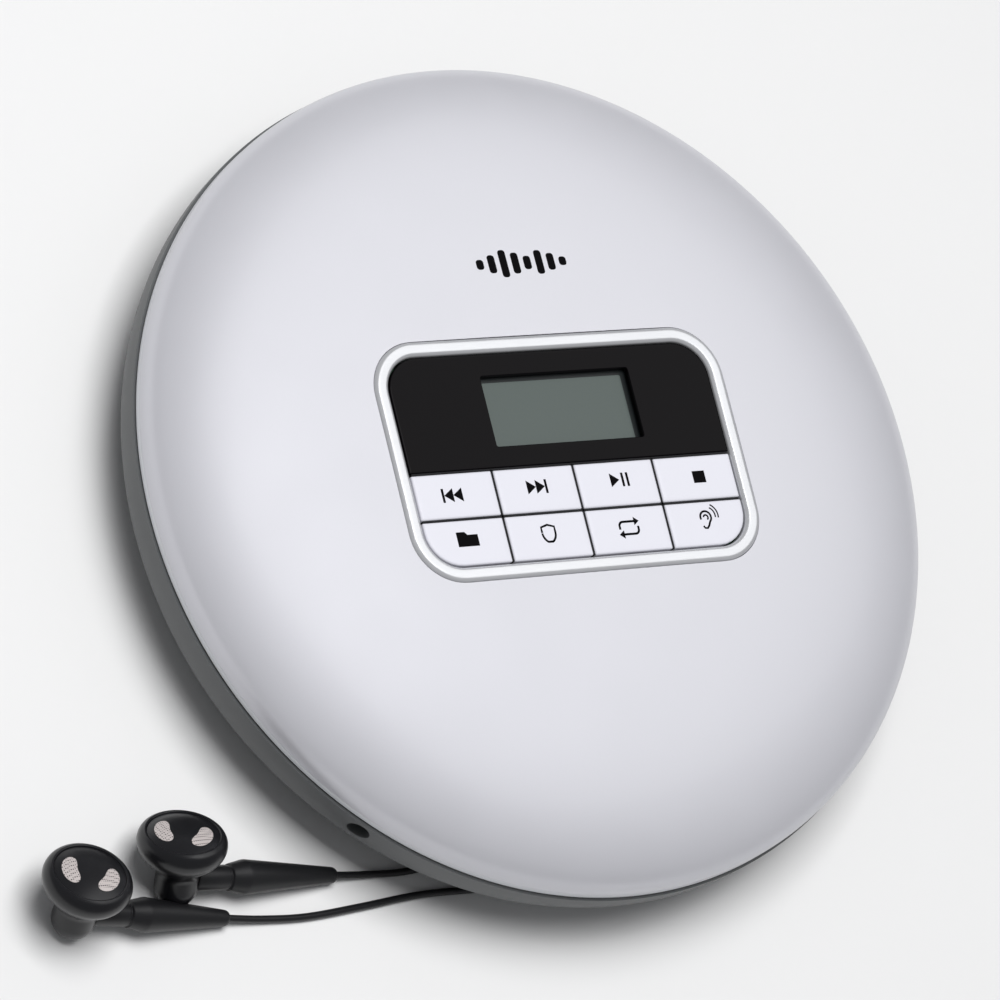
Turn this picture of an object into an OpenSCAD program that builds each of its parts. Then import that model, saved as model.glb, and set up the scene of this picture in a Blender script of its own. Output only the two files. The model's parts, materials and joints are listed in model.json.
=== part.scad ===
// Disc-shaped portable player with a domed lid, a key panel and in-ear headphones.
// Millimetres, +Z up, origin at the centre of the underside. +X is the panel's right,
// +Y is the panel's top, where the lid hinges.

/* [Case] */
// Outer diameter of the case at the seam
case_d = 140; // [138:1:150]
// Height of the seam between base and lid above the table
seam_z = 16; // [15.8:0.1:18]
// How far the case wall curves in on its way down from the seam to the underside
wall_in = 9.35; // [8.5:0.05:9.8]
// Wall thickness of the base
base_wall = 1.7; // [1.4:0.1:2]
// Thickness of the base floor
floor_t = 1.4; // [1.2:0.1:1.6]
// Gap between base and lid along the seam
seam_gap = 0.3; // [0.2:0.05:0.5]
// How far the feet stand proud of the underside
foot_h = 1.8; // [1.5:0.1:2.2]
// Diameter of a foot
foot_d = 9; // [6:0.5:11]
// Distance of each foot from the centre
foot_r = 50; // [46:1:52]

/* [Lid] */
// Height of the grey rim under the dome
rim_h = 1.2; // [0.8:0.1:1.6]
// How far the rim and dome sit inside the base's edge
rim_in = 0.4; // [0.2:0.1:0.6]
// Height of the dome above the rim
dome_h = 10.6; // [10.4:0.1:12]
// Flatness of the dome across its middle
dome_flat = 4; // [3:0.5:5]
// Roundness of the dome's shoulder
dome_round = 2.76; // [2.4:0.02:3]
// Wall thickness of the lid
lid_wall = 1.6; // [1.2:0.1:1.8]

/* [Panel] */
// Width of the opening in the bezel
panel_w = 59.6; // [56:0.2:62]
// Height of the opening in the bezel
panel_h = 34.9; // [34:0.1:37]
// Corner radius of the opening
panel_r = 6; // [4:0.5:7]
// Width of the bezel's frame
bezel_w = 2.5; // [2:0.1:3]
// Height of the bezel's top above the top of the dome
bezel_proud = 0.25; // [0.1:0.05:0.5]
// Distance between key columns
key_pitch_x = 14.87; // [14:0.01:15]
// Distance between key rows
key_pitch_y = 7.77; // [7.4:0.01:8]
// Gap between neighbouring keys and around them
key_gap = 0.4; // [0.3:0.05:0.6]
// How far a key travels
key_travel = 0.4; // [0.2:0.05:0.45]
// Width of the display's opening
display_w = 27.4; // [24:0.2:30]
// Height of the display's opening
display_h = 11.8; // [10:0.2:13]

/* [Disc drive] */
// Radius of the disc well
well_r = 61.2; // [60.8:0.1:62]
// Radius of the turntable's flange
flange_r = 14; // [12:0.5:15]
// Radius of the hub that centres the disc
hub_r = 7.35; // [7.2:0.05:7.4]
// Radius of the spindle motor
motor_r = 8.8; // [7:0.1:9]
// Distance from the spindle to the lens when it reads the first track
lens_start = 24; // [23:0.5:25]
// Travel of the pickup
lens_travel = 33; // [30:0.5:34]
// Radius of a guide rod
rod_r = 1; // [0.8:0.1:1.2]
// Radius of the lead screw
lead_screw_r = 1.2; // [1:0.1:1.4]

/* [Battery bay] */
// Diameter of a cell
cell_d = 14.5; // [14.5:0.1:14.6]
// Length of a cell
cell_l = 50.5; // [50:0.1:51]

/* [Sockets and side controls] */
// Radius of the bore of a headphone-size jack
jack_r = 1.8; // [1.75:0.01:1.85]
// Length of the bore of a jack
jack_l = 12; // [11:0.5:13]
// Depth of the line-out jack below the seam
line_out_drop = 2.8; // [2.8:0.1:3.4]
// Direction of the line-out jack, in degrees
line_out_az = 230; // [228:1:233]
// Direction of the phones jack, in degrees
phones_az = 5; // [4:1:6]
// Travel of the lid latch
latch_travel = 3; // [2:0.5:4]
// Travel of the hold switch
hold_travel = 2; // [1:0.5:2.5]
// Travel of a volume key
volume_travel = 0.4; // [0.2:0.05:0.5]

/* [Earphones] */
// Diameter of an earbud's cap
bud_d = 14; // [13:0.5:15]
// Diameter of the cord
cord_d = 1.2; // [1:0.1:1.3]
// Width of the hank of spare cord
hank_w = 13.2; // [11:0.1:14]
// Length of the hank
hank_l = 36; // [30:0.1:38]
// Height of the hank
hank_h = 4.8; // [3.6:0.1:5]

/* [Hidden] */
$fn = 96;

// Colours
SILVER = "#E4E5EA";
GREY = "#6B6D6D";
RIM_GREY = "#8E9092";
BLACK = "#17171A";
STEEL = "#B8BCC0";

// Levels and radii of the case
case_r = case_d / 2;
base_z = foot_h;
floor_z = base_z + floor_t;
base_top_z = seam_z - seam_gap / 2;
lid_bottom_z = seam_z + seam_gap / 2;
rim_r = case_r - rim_in;
dome_z = lid_bottom_z + rim_h;
top_z = dome_z + dome_h;
bezel_top_z = top_z + bezel_proud;
steps = 18;
function wall_r(z) = case_r - wall_in * pow(max(seam_z - z, 0) / (seam_z - base_z), 3);
function dome_pt(t, r, h) = [r * pow(sin(t), 2 / dome_flat), dome_z + h * pow(cos(t), 2 / dome_round)];

// Hinge, close to the rim at the back
hinge_y = case_r - 4;
hinge_z = seam_z + 0.4;
knuckle_r = 1.5;
pin_r = 0.6;
pin_clear = 0.05;
notch_w = 2 * sqrt(pow(rim_r, 2) - pow(hinge_y, 2)) + 2;
notch_z = hinge_z - (rim_r - hinge_y) - 0.5;
base_knuckle_x = 6;
knuckle_l = 4;
lid_knuckle_x = base_knuckle_x + knuckle_l + 0.3;

// Disc drive levels
deck_t = 1;
deck_z = seam_z + 2.3;
deck_under_z = deck_z - deck_t;
well_top_z = deck_z + 2.1;
disc_z = deck_z + 0.9;
hub_top_z = disc_z + 2.4;
liner_z = deck_z + 4.3;
liner_t = 0.8;
liner_r = well_r - 2.2;
board_z = floor_z + 1;
board_t = 0.8;
board_top_z = board_z + board_t;
board_r = wall_r(board_z) - base_wall - 1;
switch_foot_r = wall_r(board_top_z) - base_wall - 0.3;
plate_z = board_top_z + 4.4;
plate_t = 0.8;
rod_z = plate_z + plate_t + 2.8;
sled_low_z = plate_z + plate_t + 0.8;
sled_top_z = deck_under_z - 0.8;
rod_x = 16.9;
screw_x = 12.6;
bracket_y = -14.5;
front_y = -(lens_start + lens_travel + 6.4);
wall_plate_t = 1;

// Panel levels
key_top_z = bezel_top_z - 0.4;
key_t = 1.5;
key_bottom_z = key_top_z - key_t;
window_t = 0.8;
bezel_bottom_z = liner_z + 2.7;
control_z = liner_z + liner_t + 0.4;
control_t = 0.6;
control_top_z = control_z + control_t;
mat_z = control_top_z + 0.8;
mat_t = 0.5;
display_x = 0.9;
display_y = 7.7;
key_top_y = -1.85;

// Battery bay
bay_gap = 2.4;
bay_half_w = cell_l / 2 + bay_gap;
bay_y0 = 22;
bay_y1 = bay_y0 + 2 * cell_d + 1.6;
door_half_w = cell_l / 2 + 1.2;
door_lip_z = floor_z + 3;
bay_wall = 1.2;

// Places around the wall: direction in degrees
latch_az = 312;
hold_az = 325;
power_az = 337;
volume_down_az = 348;
volume_up_az = 355;
control_z_mid = seam_z - 6.8;
pocket_r = wall_r(control_z_mid) - 0.85;
switch_r0 = 61.2;
line_out_z = seam_z - line_out_drop;
phones_z = seam_z - 9.2;
jack_face_r = wall_r(phones_z) - 0.9;
power_z = seam_z - 8.6;
case_screw_r = 58;
case_screw_az = [20, 160, 200, 240, 300, 340];
liner_screw_pts = [[40, 28], [-40, 28], [40, -28], [-40, -28]];
damper_pts = [[-20, -45], [20, -45], [0, 12.4]];
foot_az = [45, 135, 225, 315];
board_pads = [[40, 8], [-40, 8], [36, -30], [-36, -30]];

// Earbuds: centre of the cap, way the cap faces, way the boot leaves, end of the boot
LEFT_CAP = [-90.7, -55.1, 12.1];
LEFT_FACE = [0, 0.456, 0.89];
LEFT_OUT = [0.976, -0.195, 0.1];
LEFT_END = [-64.2, -62, 1.6];
RIGHT_CAP = [-73.2, -50.2, 10.9];
RIGHT_FACE = [-0.077, 0.63, 0.773];
RIGHT_OUT = [0.97, -0.143, 0.204];
RIGHT_END = [-44.1, -57.2, 1.6];
neck_r = 3.4;
neck_l = 9.7;
boot_drop = 8.5;
Y_START = [31, 63.4, 1.4];
Y_END = [38.6, 64.6, 1.2];

// Cord routes, laid on the table under and behind the case
LEFT_ROUTE = [[-64.2, -62, 1.6], [-58, -62.6, 0.95], [-50, -63, 0.7], [-40, -62.4, 0.65], [-29, -61.6,
    0.65],
    [-16, -61.8, 0.65], [-4, -61, 0.65], [8, -56, 0.65], [16, -46, 0.65], [17, -34, 0.65], [12, -20,
        0.65], [8, -6, 0.65],
    [9, 8, 0.65], [14, 20, 0.65], [20, 32, 0.65], [24, 43, 0.65], [27, 53, 0.65], [29.4, 60, 0.9], [31,
        62.9, 1.3]];
RIGHT_ROUTE = [[-44.1, -57.2, 1.6], [-38, -57.5, 0.95], [-30, -57.6, 0.7], [-20, -56, 0.65], [-10, -50,
    0.65],
    [-7, -40, 0.65], [-12, -30, 0.65], [-22, -22, 0.65], [-27, -11, 0.65], [-23, 1, 0.65], [-13, 8,
        0.65], [-6, 18, 0.65],
    [-3, 30, 0.65], [2, 42, 0.65], [10, 52, 0.65], [19, 59, 0.65], [26, 62.6, 0.9], [30.6, 64.2, 1.3]];
TAIL_ROUTE = [[38.4, 64.6, 1.2], [40.5, 64.3, 0.9], [42.2, 62.9, 0.65], [43.1, 60.8, 0.65], [43.9,
    58.6, 0.65],
    [45.4, 57, 0.65], [47.1, 56.7, 0.65], [48.8, 57.2, 0.65]];
PLUG_ROUTE = [[69.3, 24.1, 6.8], [69.1, 27.3, 6.6], [69.2, 31.7, 5.9], [69.5, 36.4, 5.4], [68.8, 39.5,
    4.9]];
hank_az = 36;
hank_r = 73.1;
plug_r = 71;
plug_body_r = 2.6;
plug_l = 10;
plug_boot_l = 8;

// Helpers: placing, rounded shapes and swept tubes
module at_az(az) rotate([0, 0, az]) children();
module rrect(w, h, r) {
    square([w - 2 * r, h], center = true);
    square([w, h - 2 * r], center = true);
    for (sx = [-1, 1], sy = [-1, 1]) translate([sx * (w / 2 - r), sy * (h / 2 - r)]) circle(r);
}
module slab(x0, x1, y0, y1, z0, z1) translate([x0, y0, z0]) cube([x1 - x0, y1 - y0, z1 - z0]);
module wall_box(az, r0, r1, half_w, z0, z1) at_az(az) slab(r0, r1, -half_w, half_w, z0, z1);
module lathe(pts) rotate_extrude() polygon(pts);
module rod_along_y(r, x, y0, y1, z) translate([x, y0, z]) rotate([-90, 0, 0]) cylinder(h = y1 - y0, r = r);
module rod_along_x(r, x0, x1, y, z) translate([x0, y, z]) rotate([0, 90, 0]) cylinder(h = x1 - x0, r = r);
module bore_at(az, r0, r1, z, r) at_az(az) translate([r0, 0, z]) rotate([0, 90, 0])
    cylinder(h = r1 - r0, r = r);
function unit(v) = v / norm(v);
module to_frame(p, ex, ez) {
    x = unit(ex);
    y = unit(cross(ez, x));
    z = cross(x, y);
    multmatrix([[x[0], y[0], z[0], p[0]], [x[1], y[1], z[1], p[1]], [x[2], y[2], z[2], p[2]], [0, 0, 0, 1]])
        children();
}
function spline(p, i, t) = let(
    a = p[max(i - 1, 0)], b = p[i], c = p[i + 1], d = p[min(i + 2, len(p) - 1)])
    0.5 * (2 * b + (c - a) * t + (2 * a - 5 * b + 4 * c - d) * t * t + (3 * b - a - 3 * c + d) * t * t * t);
function smooth(p, n) = [for (i = [0 : len(p) - 2], k = [0 : n - 1]) spline(p, i, k / n), p[len(p) - 1]];
module tube(route, d, n) {
    pts = smooth(route, n);
    m = len(pts);
    sides = 8;
    rings = [for (i = [0 : m - 1]) let(
        t = unit(pts[min(i + 1, m - 1)] - pts[max(i - 1, 0)]), u = unit(cross([0, 0, 1], t)),
            v = cross(t, u))
        each [for (k = [0 : sides - 1]) pts[i] + d / 2 * (cos(k * 360 / sides) * u
            + sin(k * 360 / sides) * v)]];
    polyhedron(rings, concat(
        [[for (k = [0 : sides - 1]) k]],
        [for (i = [0 : m - 2], k = [0 : sides - 1]) let(a = i * sides, j = (k + 1) % sides)
            [a + k, a + sides + k, a + sides + j, a + j]],
        [[for (k = [sides - 1 : -1 : 0]) (m - 1) * sides + k]]), convexity = 6);
}

// Base
module base_profile(inset, z0, z1) {
    zs = [for (i = [0 : steps]) z0 + (z1 - z0) * i / steps];
    polygon(concat([[0, z0]], [for (z = zs) [wall_r(z) - inset, z]], [[0, z1]]));
}
module battery_cut(grow) {
    slab(-door_half_w - grow, door_half_w + grow, bay_y0 - grow, case_r + 10, base_z - 1,
        floor_z - 0.2 + grow);
    slab(-door_half_w - grow, door_half_w + grow, bay_y1 + bay_wall - grow, case_r + 10, base_z - 1,
        door_lip_z + grow);
}
module side_pocket(az, half_w, half_h) {
    wall_box(az, pocket_r, case_r + 5, half_w, control_z_mid - half_h, control_z_mid + half_h);
}
module base_shell() color(GREY) difference() {
    union() {
        difference() {
            rotate_extrude($fn = 180) base_profile(0, base_z, base_top_z);
            rotate_extrude($fn = 180) base_profile(base_wall, floor_z, seam_z + 1);
        }
        slab(-bay_half_w - bay_wall, bay_half_w + bay_wall, bay_y0 - bay_wall, bay_y1 + bay_wall,
            floor_z - 0.1, deck_under_z - 0.3);
        for (az = case_screw_az) at_az(az) translate([case_screw_r, 0, floor_z - 0.1])
            cylinder(h = 6.9, r = 2.8);
        for (p = damper_pts) translate([p[0], p[1], floor_z - 0.1]) cylinder(h = 2.9, r = 2.5);
        for (p = board_pads) translate([p[0], p[1], floor_z - 0.1]) cylinder(h = board_z - floor_z
            + 0.1, r = 2);
        for (s = [-1, 1]) {
            x0 = s > 0 ? base_knuckle_x : -base_knuckle_x - knuckle_l;
            slab(x0, x0 + knuckle_l, hinge_y - 2.1, case_r - base_wall + 0.3, notch_z - 3, notch_z - 0.2);
            slab(x0, x0 + knuckle_l, hinge_y - 2.1, hinge_y - 0.4, notch_z - 1, hinge_z);
            rod_along_x(knuckle_r, x0, x0 + knuckle_l, hinge_y, hinge_z);
        }
    }
    // hollow of the battery bay and the doorway under it
    slab(-bay_half_w, bay_half_w, bay_y0, bay_y1, floor_z - 0.2, deck_z);
    battery_cut(0.25);
    // notch at the back that the lid's edge turns into, outside the hinge knuckles
    for (s = [-1, 1]) {
        e0 = s > 0 ? base_knuckle_x + knuckle_l + 0.02 : -notch_w / 2;
        slab(e0, e0 + notch_w / 2 - base_knuckle_x - knuckle_l - 0.02, hinge_y - 3.5, case_r + 5,
            notch_z, seam_z + 5);
    }
    slab(-base_knuckle_x - knuckle_l - 0.1, base_knuckle_x + knuckle_l + 0.1, hinge_y + knuckle_r,
        case_r + 5,
        notch_z, seam_z + 5);
    for (s = [-1, 1]) rod_along_x(pin_r, s > 0 ? base_knuckle_x - 1 : -base_knuckle_x - knuckle_l - 1,
        s > 0 ? base_knuckle_x + knuckle_l + 1 : -base_knuckle_x + 1, hinge_y, hinge_z);
    // screw holes, with the head's seat
    for (az = case_screw_az) at_az(az) translate([case_screw_r, 0, base_z - 1]) {
        cylinder(h = 12, r = 1.1);
        cylinder(h = 2.2, r = 2.1);
    }
    for (az = foot_az) at_az(az) translate([foot_r, 0, base_z - 1]) cylinder(h = 1.6, r = foot_d / 2);
    // jacks, power socket and side controls
    bore_at(line_out_az, case_r - 5, case_r + 5, line_out_z, jack_r + 0.15);
    bore_at(phones_az, case_r - 8, case_r + 5, phones_z, jack_r + 0.15);
    at_az(phones_az) translate([jack_face_r, 0, phones_z]) rotate([0, 90, 0]) cylinder(h = 6, r = 3.2);
    wall_box(power_az, case_r - 8, case_r + 5, 3.9, power_z - 1.5, power_z + 1.5);
    side_pocket(latch_az, 4.3 + latch_travel, 1.9);
    wall_box(latch_az, case_r - 6, case_r, 2.3 + latch_travel, control_z_mid - 1.2, control_z_mid + 1.2);
    side_pocket(hold_az, 2.8 + hold_travel, 1.6);
    wall_box(hold_az, case_r - 6, case_r, 1.3 + hold_travel, control_z_mid - 0.9, control_z_mid + 0.9);
    for (az = [volume_down_az, volume_up_az]) {
        side_pocket(az, 2.9, 1.8);
        wall_box(az, case_r - 6, case_r, 1.5, control_z_mid - 1, control_z_mid + 1);
    }
}
module feet() color(BLACK) for (az = foot_az) at_az(az) translate([foot_r, 0, 0]) {
    cylinder(h = foot_h + 0.6, r = foot_d / 2 - 0.1);
}
module battery_door() color(GREY) union() {
    intersection() {
        rotate_extrude($fn = 180) base_profile(0, base_z, base_top_z);
        difference() {
            battery_cut(0);
            rotate_extrude($fn = 180) base_profile(base_wall, floor_z - 0.2, seam_z + 1);
        }
    }
    for (s = [-1, 1]) for (y = [bay_y0 + 3, bay_y0 + 17]) {
        slab(s > 0 ? door_half_w - 0.9 : -door_half_w + 0.3, s > 0 ? door_half_w - 0.3 : -door_half_w + 0.9,
            y, y + 5, floor_z - 0.3, floor_z + 0.8);
        slab(s > 0 ? door_half_w - 0.9 : -door_half_w - 0.9, s > 0 ? door_half_w + 0.9 : -door_half_w + 0.9,
            y, y + 5, floor_z + 0.2, floor_z + 0.8);
    }
    for (i = [0 : 4]) slab(-7, 7, bay_y0 + 6 + 2 * i, bay_y0 + 6.8 + 2 * i, base_z - 0.25, base_z + 0.1);
}
module cell_places() for (i = [0, 1])
    translate([0, bay_y0 + 0.6 + cell_d / 2 + i * (cell_d + 0.4), floor_z + cell_d / 2 + 0.1]) children();
module battery_contacts() color(STEEL) cell_places() for (s = [-1, 1])
    translate([s * (bay_half_w - 0.3), 0, -1]) cube([0.4, 9, 8], center = true);
module battery_springs() color(STEEL) for (i = [0, 1])
    translate([0, bay_y0 + 0.6 + cell_d / 2 + i * (cell_d + 0.4), floor_z + cell_d / 2 - 0.9])
    rotate([0, i == 0 ? 90 : -90, 0]) translate([0, 0, -bay_half_w + 0.5]) cylinder(h = bay_gap - 0.7,
        r1 = 3.6, r2 = 2.4);

// Deck: the tray that the disc lies over
module deck_profile() polygon([[0, deck_under_z], [0, deck_z], [well_r, deck_z], [well_r, well_top_z],
    [well_r + 2.3, well_top_z], [case_r - 2.5, seam_z + 0.3], [case_r - 2.5, seam_z - 1.2],
    [case_r - 3.7, seam_z - 1.2], [case_r - 3.7, seam_z - 0.3], [well_r + 1.4, deck_z - 0.1],
    [well_r + 1.4, deck_under_z]]);
module deck() color("#3C3E42") difference() {
    union() {
        rotate_extrude($fn = 180) deck_profile();
        for (az = case_screw_az) at_az(az) translate([case_screw_r, 0, floor_z + 7]) cylinder(
            h = deck_under_z - floor_z - 6.9, r = 2.6);
    }
    translate([0, 0, deck_under_z - 1]) cylinder(h = 4, r = flange_r + 0.6);
    slab(-9, 9, -(lens_start + lens_travel + 4), 0, deck_under_z - 1, deck_z + 1);
    slab(-case_r, case_r, hinge_y - 3.5, case_r, 0, 40);
    slab(-bay_half_w, bay_half_w, bay_y0, bay_y1, deck_under_z - 1, floor_z + cell_d + 0.25);
    for (az = case_screw_az) at_az(az) translate([case_screw_r, 0, floor_z + 6]) cylinder(h = 5.5, r = 0.8);
    wall_box(latch_az, 63.9, 66.9, 4.6, 10, 30);
    wall_box(latch_az, 63.9, case_r, 3.2, seam_z - 0.1, 30);
    wall_box(180, 61.9, case_r, 1.6, seam_z - 0.1, 30);
    wall_box(180, 61.9, 64.6, 1.6, 10, 30);
    // room for the line-out jack under the deck's lip
    wall_box(line_out_az, case_r - 4, case_r - 2.4, 3.5, 10, line_out_z + 2.5);
}
module case_screws() color(STEEL) for (az = case_screw_az) at_az(az) translate([case_screw_r, 0, base_z]) {
    translate([0, 0, 0.1]) cylinder(h = 1.1, r = 1.9);
    translate([0, 0, 0.1]) cylinder(h = 9.5, r = 0.8);
}

// Drive mechanism
module chassis() color("#A9ADB1") difference() {
    union() {
        intersection() {
            slab(-24, 24, front_y - wall_plate_t, 17, plate_z, plate_z + plate_t);
            translate([0, 0, plate_z]) cylinder(h = plate_t, r = wall_r(plate_z) - base_wall - 1);
        }
        slab(-18.6, 18.6, front_y - wall_plate_t, front_y, plate_z, rod_z + 1.6);
        for (s = [-1, 1]) slab(s > 0 ? 10.6 : -18.6, s > 0 ? 18.6 : -10.6, bracket_y, bracket_y
            + wall_plate_t,
            plate_z, rod_z + 1.6);
    }
    for (s = [-1, 1]) rod_along_y(rod_r, s * rod_x, front_y - 5, bracket_y + 5, rod_z);
    rod_along_y(lead_screw_r + 0.05, screw_x, front_y - 5, bracket_y + 5, rod_z);
    for (p = damper_pts) translate([p[0], p[1], plate_z - 1]) cylinder(h = 3, r = 1.4);
    slab(-8, 8, -52, -14, plate_z - 1, plate_z + 2);
}
module chassis_dampers() color(BLACK) for (p = damper_pts) translate([p[0], p[1], floor_z + 2.8]) {
    cylinder(h = plate_z - floor_z - 2.8, r = 3.2);
    cylinder(h = plate_z - floor_z - 2.8 + plate_t, r = 1.4);
    translate([0, 0, plate_z + plate_t - floor_z - 2.8]) cylinder(h = 0.5, r = 2.2);
}
module spindle_motor() color(STEEL) difference() {
    union() {
        translate([0, 0, plate_z + plate_t]) cylinder(h = 5.6, r = motor_r);
        translate([0, 0, plate_z + plate_t]) cylinder(h = 6.2, r = 3);
    }
    translate([0, 0, plate_z + plate_t + 1]) cylinder(h = 8, r = 1.05);
}
module turntable() color(BLACK) difference() {
    lathe([[0, plate_z + plate_t + 1.6], [1, plate_z + plate_t + 1.6], [1, deck_under_z], [5, deck_under_z],
        [5, deck_z - 0.3], [flange_r, deck_z - 0.3], [flange_r, disc_z], [hub_r, disc_z], [hub_r,
            hub_top_z - 0.8],
        [hub_r - 1, hub_top_z], [0, hub_top_z]]);
    for (i = [0 : 2]) at_az(90 + 120 * i) translate([hub_r - 0.45, 0, disc_z + 1.2]) sphere(r = 0.85,
        $fn = 32);
}
module hub_balls() color(STEEL) for (i = [0 : 2]) at_az(90 + 120 * i)
    translate([hub_r - 0.45, 0, disc_z + 1.2]) sphere(r = 0.8, $fn = 32);
module pickup_sled() color("#8A8D90") difference() {
    union() {
        slab(-8.5, 8.5, -lens_start - 5.5, -lens_start + 7.5, sled_low_z, sled_top_z);
        slab(-19, 19, -lens_start - 5.5, -lens_start + 1, rod_z - 2, rod_z + 2);
        translate([0, -lens_start, sled_top_z - 0.1]) cylinder(h = deck_z - sled_top_z - 0.3, r = 3.2);
    }
    rod_along_y(rod_r + 0.05, rod_x, -lens_start - 9, -lens_start + 9, rod_z);
    rod_along_y(rod_r + 0.05, -rod_x, -lens_start - 9, -lens_start + 9, rod_z);
    rod_along_y(lead_screw_r + 0.1, screw_x, -lens_start - 9, -lens_start + 9, rod_z);
    translate([0, -lens_start, sled_top_z]) cylinder(h = 9, r = 2.4);
}
module pickup_lens() color("#7FA0B8") translate([0, -lens_start, 0]) lathe([[0, sled_top_z + 0.6],
    [2.1, sled_top_z + 0.6],
    [2.1, deck_z - 0.3], [1.5, deck_z - 0.1], [0.8, deck_z], [0, deck_z + 0.05]]);
module guide_rods() color(STEEL) for (s = [-1, 1])
    rod_along_y(rod_r, s * rod_x, front_y - wall_plate_t, bracket_y + wall_plate_t, rod_z);
module lead_screw() color(STEEL) rod_along_y(lead_screw_r, screw_x, front_y - wall_plate_t,
    bracket_y + 1.1, rod_z);
module sled_motor() color(STEEL) difference() {
    rod_along_y(2.7, screw_x, bracket_y + wall_plate_t, bracket_y + 12.6, rod_z);
    rod_along_y(lead_screw_r + 0.05, screw_x, bracket_y - 1, bracket_y + 2, rod_z);
}

// Electronics
module main_board() color("#2F6B45") difference() {
    translate([0, 0, board_z]) cylinder(h = board_t, r = board_r);
    slab(-case_r, case_r, bay_y0 - bay_wall - 0.6, case_r, 0, 20);
    for (az = case_screw_az) at_az(az) translate([case_screw_r, 0, 0]) cylinder(h = 20, r = 3.2);
    for (p = damper_pts) translate([p[0], p[1], 0]) cylinder(h = 20, r = 3);
}
module board_chips() color(BLACK) for (c = [[-36, -12, 12, 12], [34, -14, 10, 14], [-2, -34, 14, 10],
    [-38, 6, 8, 6]])
    translate([c[0] - c[2] / 2, c[1] - c[3] / 2, board_top_z]) cube([c[2], c[3], 1.6]);
function jack_low_z(z) = max(board_top_z, z - 2.6);
module jack_body(az, z, gap) difference() {
    face = wall_r(jack_low_z(z)) - base_wall - gap;
    union() {
        wall_box(az, face - jack_l - 1, face, 3.2, jack_low_z(z), z + 2.4);
        wall_box(az, face - jack_l - 1, switch_foot_r, 3.2, board_top_z, z);
    }
    bore_at(az, face - jack_l, face + 1, z, jack_r);
}
module line_out_jack() color(BLACK) jack_body(line_out_az, line_out_z, 2);
module phones_jack() color(BLACK) jack_body(phones_az, phones_z, 0.3);
module power_socket() color(STEEL) difference() {
    wall_box(power_az, switch_r0, wall_r(power_z - 1.35) - base_wall + 0.6, 3.75, power_z - 1.35,
        power_z + 1.35);
    wall_box(power_az, switch_r0 + 0.8, case_r, 3.45, power_z - 1.05, power_z + 1.05);
}
module lid_switch() color(BLACK) {
    wall_box(180, 59, switch_foot_r, 2, board_top_z, seam_z - 3.5);
    at_az(180) translate([63.2, 0, seam_z - 3.6]) cylinder(h = 1.8, r = 0.9);
}
module side_switch(az, half_w, r1) {
    wall_box(az, switch_r0, r1, half_w, control_z_mid - 1.6, control_z_mid + 1.2);
    wall_box(az, switch_r0, switch_foot_r, half_w, board_top_z, control_z_mid - 1.5);
}
module side_switches() color(BLACK) {
    for (az = [volume_down_az, volume_up_az]) side_switch(az, 2.4, pocket_r - 2.6);
    side_switch(hold_az, 3.4, pocket_r - 3.4);
}

// Side controls
module latch_slider() color("#7A7C7E") {
    wall_box(latch_az, pocket_r + 0.15, case_r - 0.25, 4, control_z_mid - 1.6, control_z_mid + 1.6);
    wall_box(latch_az, 64.6, pocket_r + 0.4, 2, control_z_mid - 0.9, control_z_mid + 0.9);
    at_az(latch_az) slab(64.6, 66.1, 0, 4, control_z_mid - 0.9, control_z_mid + 0.9);
    at_az(latch_az) slab(64.6, 66.1, 2.4, 4, control_z_mid - 0.9, seam_z - 1.4);
}
module hold_switch() color("#7A7C7E") {
    wall_box(hold_az, pocket_r + 0.15, case_r - 0.3, 2.5, control_z_mid - 1.3, control_z_mid + 1.3);
    wall_box(hold_az, pocket_r - 3.1, pocket_r + 0.4, 1, control_z_mid - 0.6, control_z_mid + 0.6);
}
module volume_key(az) color("#7A7C7E") {
    wall_box(az, pocket_r + volume_travel + 0.1, case_r - 0.25, 2.6, control_z_mid - 1.5,
        control_z_mid + 1.5);
    wall_box(az, pocket_r - 2.1, pocket_r + volume_travel + 0.3, 1.2, control_z_mid - 0.7,
        control_z_mid + 0.7);
}
module volume_up() volume_key(volume_up_az);
module volume_down() volume_key(volume_down_az);
module hinge_pins() color(STEEL) for (s = [-1, 1]) {
    x0 = s > 0 ? base_knuckle_x : -lid_knuckle_x - knuckle_l;
    rod_along_x(pin_r, x0, x0 + lid_knuckle_x + knuckle_l - base_knuckle_x, hinge_y, hinge_z);
}

// Lid
module base_knuckle_room() for (s = [-1, 1]) {
    x0 = s > 0 ? base_knuckle_x - 0.3 : -base_knuckle_x - knuckle_l - 0.3;
    rod_along_x(knuckle_r + 0.3, x0, x0 + knuckle_l + 0.6, hinge_y, hinge_z);
}
module dome_solid(inset) rotate_extrude($fn = 180) polygon(concat([[0, dome_z]],
    [for (i = [0 : steps]) dome_pt(90 - 90 * i / steps, rim_r - inset, dome_h - inset)]));
module panel_cut(grow) translate([0, 0, dome_z + 2]) linear_extrude(height = dome_h + 5)
    rrect(panel_w + 2 * (bezel_w + grow), panel_h + 2 * (bezel_w + grow), panel_r + bezel_w + grow);
module lid_shell() color(SILVER) difference() {
    union() {
        difference() {
            dome_solid(0);
            dome_solid(lid_wall);
        }
        intersection() {
            for (p = liner_screw_pts) translate([p[0], p[1], liner_z + liner_t + 0.05]) cylinder(h = 6,
                r = 2.5);
            dome_solid(0.4);
        }
    }
    panel_cut(0.05);
    base_knuckle_room();
    for (s = [-1, 1]) rod_along_x(knuckle_r + 0.05,
        s > 0 ? lid_knuckle_x - 1 : -lid_knuckle_x - knuckle_l - 0.1,
        s > 0 ? lid_knuckle_x + knuckle_l + 0.1 : -lid_knuckle_x + 1, hinge_y, hinge_z);
    for (p = liner_screw_pts) translate([p[0], p[1], liner_z]) cylinder(h = 3.2, r = 0.8);
}
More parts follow.
